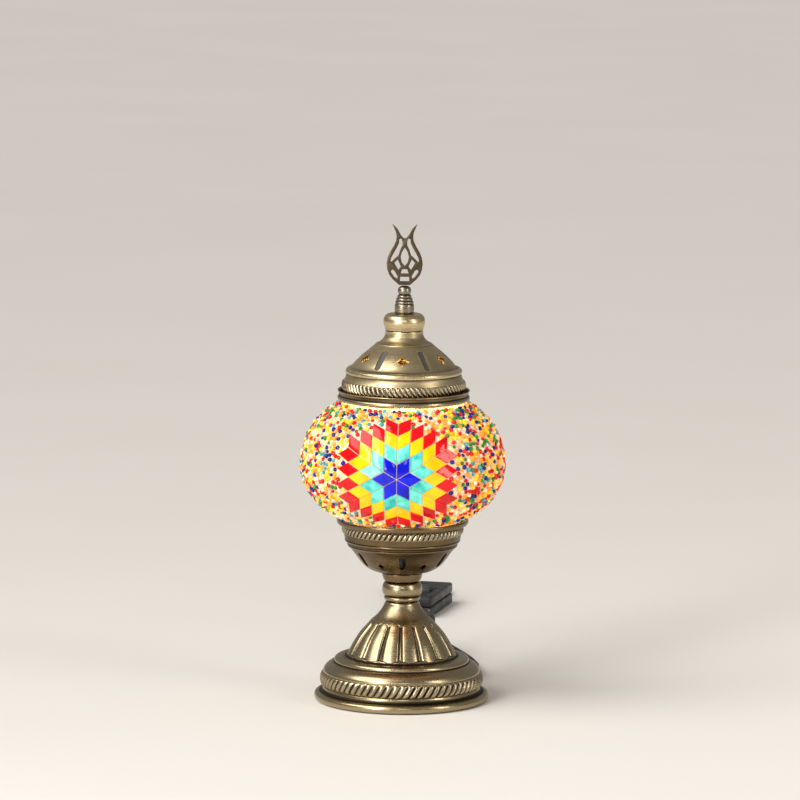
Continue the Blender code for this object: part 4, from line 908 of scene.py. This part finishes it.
tilt_chance = random.Random(7)
for row, (name, glass) in enumerate(ROW_FINISHES):
    bm = bmesh.new()
    for medallion in range(MEDALLIONS):
        for shape in rhombuses(row):
            tilts = [tilt_chance.uniform(-TILE_TILT, TILE_TILT) for _ in shape]
            corners = [bm.verts.new(laid(medallion, point.x, point.y, TILE_SINK + tilt) * MM)
                       for point, tilt in zip(shape, tilts)]
            bm.faces.new(corners)
    bmesh.ops.recalc_face_normals(bm, faces=bm.faces)
    for face in bm.faces:
        if face.normal.dot(face.calc_center_median() - Vector((0, 0, GLOBE_LEVEL * MM))) < 0:
            face.normal_flip()
    top_edges = list(bm.edges)
    bmesh.ops.solidify(bm, geom=bm.faces[:], thickness=TILE_DEPTH * MM)
    bmesh.ops.bevel(bm, geom=[edge for edge in top_edges if edge.is_valid],
                    offset=TILE_CHAMFER * MM, segments=2, profile=0.5, material=-1, affect="EDGES")
    made(bm, name, glass, "lamp", slot="mosaic", smooth=25.0)

# %% Where the beads lie
BEAD_PITCH = 3.05
BEAD_MARGIN = 1.1     # how far a bead's middle keeps from a tile
BEAD_EDGE = 0.8       # and from the ends of the mosaic
PUSHES = 14
PUSH_SHARE = 0.35     # how much of an overlap one push takes away


def in_star(side, climb):
    """Whether a place is on one of the star's tiles."""
    turn = radians((degrees(np.arctan2(climb, side)) + 30) % 60 - 30)
    away = hypot(side, climb) / TILE_SIDE
    total = away * cos(turn) / cos(radians(30))
    spread = away * sin(turn) / sin(radians(30))
    return floor((total - spread) / 2) + floor((total + spread) / 2) < TILE_ROWS


def clear_of_stars(azimuth, climb):
    """Whether a bead at that place keeps off every medallion."""
    for medallion in range(MEDALLIONS):
        middle = FIRST_MEDALLION + medallion * 2 * pi / MEDALLIONS
        turn = (azimuth - middle + pi) % (2 * pi) - pi
        side = turn * globe_radius(climb)
        if hypot(side, climb) > (TILE_ROWS + 1) * TILE_SIDE:
            continue
        for reach in (-BEAD_MARGIN, BEAD_MARGIN):
            if in_star(side + reach, climb) or in_star(side, climb + reach):
                return False
    return True


def strewn_beads(chance):
    """Azimuths and climbs of beads strewn in loose rows, off the stars."""
    rows = int((TOP_CLIMB - FOOT_CLIMB) / (BEAD_PITCH * sqrt(0.75)))
    places = []
    for row in range(rows):
        climb = FOOT_CLIMB + (TOP_CLIMB - FOOT_CLIMB) * (row + 0.5) / rows
        radius = globe_radius(climb)
        count = int(2 * pi * radius / BEAD_PITCH)
        start = chance.uniform(0, 2 * pi)
        for k in range(count):
            azimuth = start + 2 * pi * k / count + chance.gauss(0, 0.3) * BEAD_PITCH / radius
            places.append([azimuth, climb + chance.gauss(0, 0.9)])
    return [spot for spot in places if clear_of_stars(*spot)]


def push_apart(places):
    """Moves each bead a little away from the beads it overlaps."""
    points = [on_globe(*spot)[0] for spot in places]
    tree = kdtree.KDTree(len(points))
    for number, point in enumerate(points):
        tree.insert(point, number)
    tree.balance()
    for number, (point, spot) in enumerate(zip(points, places)):
        push_side, push_up = 0.0, 0.0
        for other, index, away in tree.find_range(point, BEAD_PITCH):
            if index == number or away < 1e-6:
                continue
            share = PUSH_SHARE * (BEAD_PITCH - away) / away
            step = (point - other) * share
            push_side += -step.x * sin(spot[0]) + step.y * cos(spot[0])
            push_up += copysign(hypot(step.z, step.xy.length * 0.3), step.z)
        climb = min(TOP_CLIMB - BEAD_EDGE, max(FOOT_CLIMB + BEAD_EDGE, spot[1] + push_up))
        moved = [spot[0] + push_side / globe_radius(spot[1]), climb]
        if clear_of_stars(*moved):
            spot[:] = moved


chance = random.Random(21)
bead_places = strewn_beads(chance)
for _ in range(PUSHES):
    push_apart(bead_places)
print(len(bead_places), "beads laid")

# %% [markdown]
# ## Seed beads
# Some beads lie on their side and look like small barrels, others stand on end and show their hole.
# A few dozen faces are enough for each, because there are thousands. Every colour is one piece: the
# yellow, amber and clear ones glow into the grout, and the red, blue and green ones stand out.

# %% Bead shapes
def bead_shape(hollow):
    """A small mesh of one bead, 1 unit across, its axis along Z."""
    bm = bmesh.new()
    if hollow:
        ring = bmesh.ops.create_circle(bm, segments=5, radius=0.19)["verts"]
        bmesh.ops.rotate(bm, verts=ring, matrix=Matrix.Rotation(pi / 2, 3, "X"))
        bmesh.ops.translate(bm, verts=ring, vec=(0.31, 0.0, 0.0))
        bmesh.ops.spin(bm, geom=ring + bm.edges[:], cent=(0, 0, 0), axis=(0, 0, 1), angle=2 * pi,
                       steps=10, use_merge=True)
        bmesh.ops.remove_doubles(bm, verts=bm.verts, dist=1e-4)
        bmesh.ops.recalc_face_normals(bm, faces=bm.faces)
    else:
        bmesh.ops.create_uvsphere(bm, u_segments=9, v_segments=6, radius=0.5)
        bmesh.ops.scale(bm, vec=(1.0, 1.0, 0.86), verts=bm.verts)
    mesh = bpy.data.meshes.new("bead")
    bm.to_mesh(mesh)
    bm.free()
    return mesh


def stamp(bm, shape, stand):
    """Adds a copy of a small mesh to a bmesh."""
    copy = shape.copy()
    copy.transform(stand)
    bm.from_mesh(copy)
    bpy.data.meshes.remove(copy)


# %% Bead colours
BEAD_SINK = 0.95      # how far a bead's middle lies under the globe's form
BEAD_SIZES = (2.3, 3.2)
BEAD_STREAK = 500.0
BEAD_COLOURS = [      # name of the piece and its finish, share, deep colour, pale colour, glow
    ("cream_beads", "cream_glass", 0.18, (0.80, 0.52, 0.25), (0.95, 0.76, 0.50), 0.34),
    ("amber_beads", "amber_glass", 0.16, (0.74, 0.21, 0.005), (0.92, 0.38, 0.02), 0.44),
    ("gold_beads", "gold_glass", 0.16, (0.80, 0.42, 0.01), (0.95, 0.60, 0.03), 0.48),
    ("red_beads", "red_bead_glass", 0.17, (0.42, 0.002, 0.003), (0.74, 0.01, 0.01), 0.36),
    ("clear_beads", "clear_glass", 0.09, (0.55, 0.34, 0.22), (0.85, 0.70, 0.55), 0.22),
    ("blue_beads", "blue_bead_glass", 0.10, (0.001, 0.003, 0.10), (0.006, 0.02, 0.34), 0.15),
    ("green_beads", "green_glass", 0.08, (0.004, 0.11, 0.01), (0.05, 0.36, 0.03), 0.25),
    ("teal_beads", "teal_bead_glass", 0.06, (0.01, 0.18, 0.22), (0.12, 0.46, 0.48), 0.25),
]
HOLLOW_SHARE = 0.4

shapes = {hollow: bead_shape(hollow) for hollow in (False, True)}
names = [row[0] for row in BEAD_COLOURS]
shares = [row[2] for row in BEAD_COLOURS]
heaps = {name: bmesh.new() for name in names}
for azimuth, climb in bead_places:
    name = chance.choices(names, shares)[0]
    hollow = chance.random() < HOLLOW_SHARE
    size = chance.uniform(*BEAD_SIZES)
    point, out = on_globe(azimuth, climb, BEAD_SINK)
    lean = chance.gauss(0, 0.25) if hollow else chance.uniform(0, pi / 2)
    turn = Matrix.Rotation(chance.uniform(0, 2 * pi), 4, "Z") @ Matrix.Rotation(lean, 4, "X")
    upright = out.to_track_quat("Z", "Y").to_matrix().to_4x4()
    stand = Matrix.Translation(point * MM) @ upright @ turn
    stamp(heaps[name], shapes[hollow], stand @ Matrix.Scale(size * MM, 4))
for name, glass_name, _, deep, pale, glow in BEAD_COLOURS:
    glass = lit_glass(glass_name, deep, pale, glow, BEAD_STREAK)
    made(heaps[name], name, glass, "lamp", slot="mosaic", smooth=80.0)

# %% [markdown]
# ## Floor and light
# A plain pale floor, a large soft window to the left and a weaker one to the right give the brass
# its upright bright bands. A small warm lamp stands inside the globe, because the bulb is lit.

# %% Stage
floor_mesh = bpy.data.meshes.new("floor")
floor_bm = bmesh.new()
bmesh.ops.create_grid(floor_bm, x_segments=1, y_segments=1, size=16.0)
floor_bm.to_mesh(floor_mesh)
floor_bm.free()
placed("floor", floor_mesh)


def pale_wiring(start):
    """A pale paint with hardly visible clouds."""
    return {"Base Color": blend(grain(start, 3.0), (0.78, 0.74, 0.69), (0.82, 0.79, 0.75))}


floor_mesh.materials.append(finish("pale_floor", pale_wiring, Roughness=0.6))

world = bpy.data.worlds.new("studio")
bpy.context.scene.world = world
world.use_nodes = True
background = world.node_tree.nodes["Background"]
background.inputs["Color"].default_value = (0.93, 0.90, 0.86, 1.0)
background.inputs["Strength"].default_value = 0.32

# %% Lights
def light(name, kind, strength, colour):
    """A light of one kind, at the origin."""
    lamp = placed(name, bpy.data.lights.new(name, kind))
    lamp.data.energy = strength
    lamp.data.color = colour
    return lamp


def window(name, spot, width, height, watts, colour):
    """A rectangular light that faces the lamp."""
    pane = light(name, "AREA", watts, colour)
    pane.data.shape = "RECTANGLE"
    pane.data.size = width
    pane.data.size_y = height
    pane.location = spot
    pane.rotation_euler = (LOOK_AT - Vector(spot)).to_track_quat("-Z", "Y").to_euler()


window("window_left", (-0.95, -1.35, 0.7), 0.42, 1.3, 22.0, (1.0, 0.985, 0.96))
window("window_right", (1.3, -0.85, 0.7), 0.3, 1.1, 7.5, (1.0, 0.97, 0.92))
window("window_front", (0.15, -3.7, 1.7), 0.5, 1.1, 9.0, (1.0, 1.0, 1.0))
daylight = light("daylight", "SUN", 2.1, (1.0, 0.98, 0.95))
daylight.data.angle = radians(45)
daylight.rotation_euler = Vector((0.75, 0.35, -1.0)).to_track_quat("-Z", "Y").to_euler()
glow_point = light("bulb_glow", "POINT", 0.35, (1.0, 0.72, 0.40))
glow_point.data.shadow_soft_size = 0.01
glow_point.location = (0.0, 0.0, 0.160)
bpy.context.scene.view_settings.view_transform = "Standard"

# %% [markdown]
# ## Black plastic
# The flex, the strain relief, the switch and the plug are moulded from soft black plastic. Moulded
# plastic is never quite black or quite smooth: it has a fine spark-eroded grain, rubbed a little
# shiny where fingers hold it. Sharp solid edges are rounded, as every moulding's edges are.

# %% Switch and plug
def moulded(start):
    """Nearly black, with the fine grain of a mould and shiny rubbed places."""
    grit = grain(start, 2600.0, 2.0)
    rubbed = patches(start, 140.0, 3.0, 0.42, 0.7)
    colour = blend(rubbed, (0.010, 0.010, 0.011), (0.026, 0.026, 0.027))
    return {"Base Color": colour, "Roughness": grit * 0.14 - rubbed * 0.12 + 0.42,
            "Normal": relief(grit, 0.00012, 0.5)}


black_plastic = finish("black_plastic", moulded, Specular_IOR_Level=0.45)
MOULDINGS = [
    ("switch_upper_case", "switch_top", "lamp", 0.8),
    ("switch_lower_case", "switch_bottom", "lamp", 0.8),
    ("plug_body", "plug", "lamp", 0.7),
    ("hank_tie", "tie", "lamp", 0.3),
    ("rocker", "rocker_cap", "rocker", 0.35),
]
for node, name, body, width in MOULDINGS:
    rounded_copy(node, name, black_plastic, body, "black_pvc", width)

# %% [markdown]
# ## Ribs and grips
# Fingers need something to push against. The rocker has three ribs at either end of its top, and
# the plug a row of bars on both flanks. One function makes a rounded bar wherever it is asked for.

# %% Ribs on the rocker, grips on the plug
SWITCH_PIVOT = (15.3, 307.3, 13.0)
SWITCH_HEADING = radians(76)
ROCKER_TILT = radians(7)
ROCKER_HALF = 9.5
ROCKER_DIP = 1.4       # height of the rocker's middle over its pivot
ROCKER_CLIMB = 1.2     # how much higher its ends are
RIB_PLACES = [4.6, 6.0, 7.4]
RIB_SIZE = (0.5, 7.6, 0.7)
PLUG_MIDDLE = (11.0, 23.7)
PLUG_HALF = 9.5
GRIP_START = 122.0
GRIP_PITCH = 2.8
GRIP_SIZE = (1.0, 1.3, 7.0)


def bar(bm, size, spot, stand):
    """Adds a small rounded bar to a bmesh, its size and spot in millimetres."""
    verts = bmesh.ops.create_cube(bm, size=MM)["verts"]
    edges = list({edge for vert in verts for edge in vert.link_edges})
    bmesh.ops.scale(bm, vec=size, verts=verts)
    bmesh.ops.translate(bm, vec=Vector(spot) * MM, verts=verts)
    rounded = bmesh.ops.bevel(bm, geom=edges, offset=0.3 * min(size) * MM, segments=2, profile=0.5,
                              material=-1, affect="EDGES")
    corners = {vert for face in rounded["faces"] for vert in face.verts}
    bmesh.ops.transform(bm, matrix=stand, verts=list(corners))


turn = Matrix.Rotation(SWITCH_HEADING, 4, "Z") @ Matrix.Rotation(ROCKER_TILT, 4, "Y")
rocker_stand = Matrix.Translation(Vector(SWITCH_PIVOT) * MM) @ turn
ribs = bmesh.new()
for place_x in RIB_PLACES:
    for side in (-1, 1):
        height = ROCKER_DIP + ROCKER_CLIMB * place_x / ROCKER_HALF
        bar(ribs, RIB_SIZE, (side * place_x, 0.0, height), rocker_stand)
made(ribs, "rocker_ribs", black_plastic, "rocker", slot="black_pvc")
grips = bmesh.new()
for k in range(5):
    for side in (-1, 1):
        spot = (PLUG_MIDDLE[0] + side * PLUG_HALF, GRIP_START + GRIP_PITCH * k, PLUG_MIDDLE[1])
        bar(grips, GRIP_SIZE, spot, Matrix())
made(grips, "plug_grips", black_plastic, "lamp", slot="black_pvc")

# %% [markdown]
# ## Strain relief
# Where the flex leaves the foot, a ribbed sleeve keeps it from being bent sharply. Its rings grow
# smaller towards the tip, so that it bends a little more along its length. It is one outline with
# rings, spun round an axis and then laid along the way out.

# %% Ribbed sleeve
EXIT_HEADING = radians(60)
EXIT_HEIGHT = 11.6
SLEEVE_RINGS = 7
RING_PITCH = 2.9
RING_START = 54.0
RING_RADIUS = 4.4
RING_SHRINK = 0.12      # how much smaller each ring is than the one before
RING_DEPTH = 0.75
# radii and distances from the lamp's axis, first the neck and collar, then the rings and the tip
sleeve_outline = [(2.65, 45.7), (3.4, 45.7), (3.45, 51.5), (4.35, 51.6), (4.35, 53.4)]
for k in range(SLEEVE_RINGS):
    start = RING_START + RING_PITCH * k
    radius = RING_RADIUS - RING_SHRINK * k
    groove = radius - RING_DEPTH
    sleeve_outline += [(groove, start), (groove + 0.05, start + 0.8), (radius, start + 1.1),
                       (radius, start + 2.4), (groove, start + 2.8)]
sleeve_outline += [(3.45, 75.3), (3.1, 75.7), (2.65, 75.8)]
sleeve_bm = spun(softened(sleeve_outline, 1), 40)
lay = Matrix.Rotation(EXIT_HEADING, 4, "Z") @ Matrix.Rotation(pi / 2, 4, "Y")
bmesh.ops.transform(sleeve_bm, verts=sleeve_bm.verts,
                    matrix=Matrix.Translation((0.0, 0.0, EXIT_HEIGHT * MM)) @ lay)
made(sleeve_bm, "sleeve", black_plastic, "lamp", ["strain_relief"], "black_pvc")

# %% [markdown]
# ## Inside the globe
# With the cap off, one looks down through the mouth on the frosted glass, the holder and the bulb.
# The glass is the same form as the grout, a little smaller. The bulb is a drop turned from one
# outline, with thin clear glass round a stem and a glowing filament.

# %% Frosted glass and bulb
def frosted(start):
    """Glass blasted white, lit through, with faint clouds."""
    clouds = patches(start, 60.0, 3.0, 0.3, 0.75)
    fine = grain(start, 3000.0, 2.0)
    colour = blend(clouds, (0.86, 0.66, 0.42), (0.97, 0.84, 0.64))
    return {"Base Color": colour, "Emission Color": colour, "Roughness": fine * 0.2 + 0.4,
            "Normal": relief(fine, 0.00008, 0.4)}


GLASS_SINK = 2.8
frosted_glass = finish("frosted_glass", frosted, Emission_Strength=0.3)
made(globe_skin(GLASS_SINK, 2.2, 2, 128), "globe_inside", frosted_glass, "lamp", ["globe_glass"],
     "frosted_glass")


def clear_wiring(start):
    """Thin clear glass: mostly seen through, with a little haze."""
    haze = patches(start, 90.0, 3.0, 0.3, 0.8)
    return {"Base Color": blend(haze, (1.0, 0.86, 0.62), (1.0, 0.92, 0.76)),
            "Alpha": haze * 0.12 + 0.3, "Roughness": haze * 0.05 + 0.03}


clear_glass = finish("clear_bulb_glass", clear_wiring)
bulb_line = softened([
    (0.0, 179.6), (4.0, 179.3), (8.2, 177.4), (11.4, 173.8), (12.9, 169.0), (13.0, 163.0),
    (12.9, 156.0), (12.3, 150.5), (10.6, 145.4), (8.2, 141.8), (6.9, 139.9), (6.6, 139.3)])
bulb_inside = inner_wall(bulb_line, 0.6, 2)[:-1] + [(0.0, 179.0)]
made(spun(bulb_line + bulb_inside, 64, closed=False), "bulb_skin", clear_glass, "bulb",
     ["bulb_glass"], "bulb_glass")


# %% [markdown]
# ## Finishes for the plain pieces
# Nuts, washers, wires and the pieces hidden in the foot keep their solid shapes. Each still gets
# the finish that its material has: felt with its nap, board with its fibres, cork with its grains,
# cast iron with its skin.

# %% Finishes of the hidden pieces
def speckled(name, dark, pale, scale, depth, rough, stretch=None, **constants):
    """A finish of grains between two colours, with a relief of the same grains."""
    def wiring(start):
        grains = grain(start, scale, 3.0, stretch)
        mix = ramp(grains, (0.35, 0.0), (0.65, 1.0))
        return {"Base Color": blend(mix, dark, pale), "Roughness": mix * -0.1 + rough,
                "Normal": relief(grains, depth, 0.7)}
    return finish(name, wiring, **constants)


felt = speckled("felt", (0.010, 0.028, 0.016), (0.030, 0.062, 0.038), 1400.0, 0.0004, 0.95,
                Sheen_Weight=0.5)
board = speckled("fibreboard", (0.16, 0.10, 0.055), (0.34, 0.23, 0.13), 1.0, 0.0002, 0.85,
                 stretch=(900.0, 260.0, 900.0))
cork = speckled("cork", (0.22, 0.11, 0.05), (0.52, 0.33, 0.17), 650.0, 0.0003, 0.9)
iron = speckled("cast_iron", (0.022, 0.022, 0.024), (0.075, 0.073, 0.070), 700.0, 0.0004, 0.7,
                Metallic=0.6)
bakelite = speckled("bakelite", (0.012, 0.009, 0.008), (0.035, 0.024, 0.018), 320.0, 0.00005, 0.32)
brown_wire = speckled("brown_wire", (0.075, 0.030, 0.012), (0.13, 0.055, 0.022), 800.0, 0.00005,
                      0.45)
blue_wire = speckled("blue_wire", (0.006, 0.03, 0.16), (0.015, 0.07, 0.30), 800.0, 0.00005, 0.45)


def hot_wiring(start):
    """A hot wire, a little brighter and darker along its length."""
    return {"Emission Color": blend(grain(start, 900.0), (1.0, 0.50, 0.14), (1.0, 0.72, 0.34))}


glowing = finish("filament", hot_wiring, Emission_Strength=9.0)
COATS = [
    (felt, ["felt_pad"]), (board, ["base_board"]), (iron, ["base_weight"]),
    (cork, ["lower_seal", "upper_seal"]), (bakelite, ["lampholder", "bulb_insulator"]),
    (brown_wire, ["live_wire"]), (blue_wire, ["neutral_wire"]), (grey_brass, ["cap_skirt"]),
    (clear_glass, ["bulb_stem"]), (glowing, ["bulb_filament"]),
    (plain_brass, ["screw_shell", "centre_contact", "bulb_contact", "bulb_cap", "switch_contact_1",
                   "switch_contact_2", "plug_blade_left", "plug_blade_right"]),
    (zinc_steel, ["base_washer", "base_nut", "cord_clamp", "clamp_screw_1", "clamp_screw_2",
                  "lamp_tube", "cup_spacer", "holder_nut", "cap_nut", "finial_stud",
                  "switch_screw_1", "switch_screw_2"]),
]
for material, nodes in COATS:
    for node in nodes:
        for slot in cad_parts[node].material_slots:
            slot.material = material
print(sum(len(nodes) for _, nodes in COATS), "solid pieces finished")

# %% [markdown]
# ## The flex's finish
# Last, the two stretches of flex get the black plastic and ride on the lamp, and the solid model's
# pieces of flex that they stand for are hidden.

# %% Cords and the pieces on them
for piece, nodes in ((flex_lead, ["flex_to_switch"]),
                     (flex_main, ["flex_to_hank", "flex_hank", "flex_tail"])):
    piece.data.materials.append(black_plastic)
    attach(piece, "lamp")
    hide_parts(*nodes)
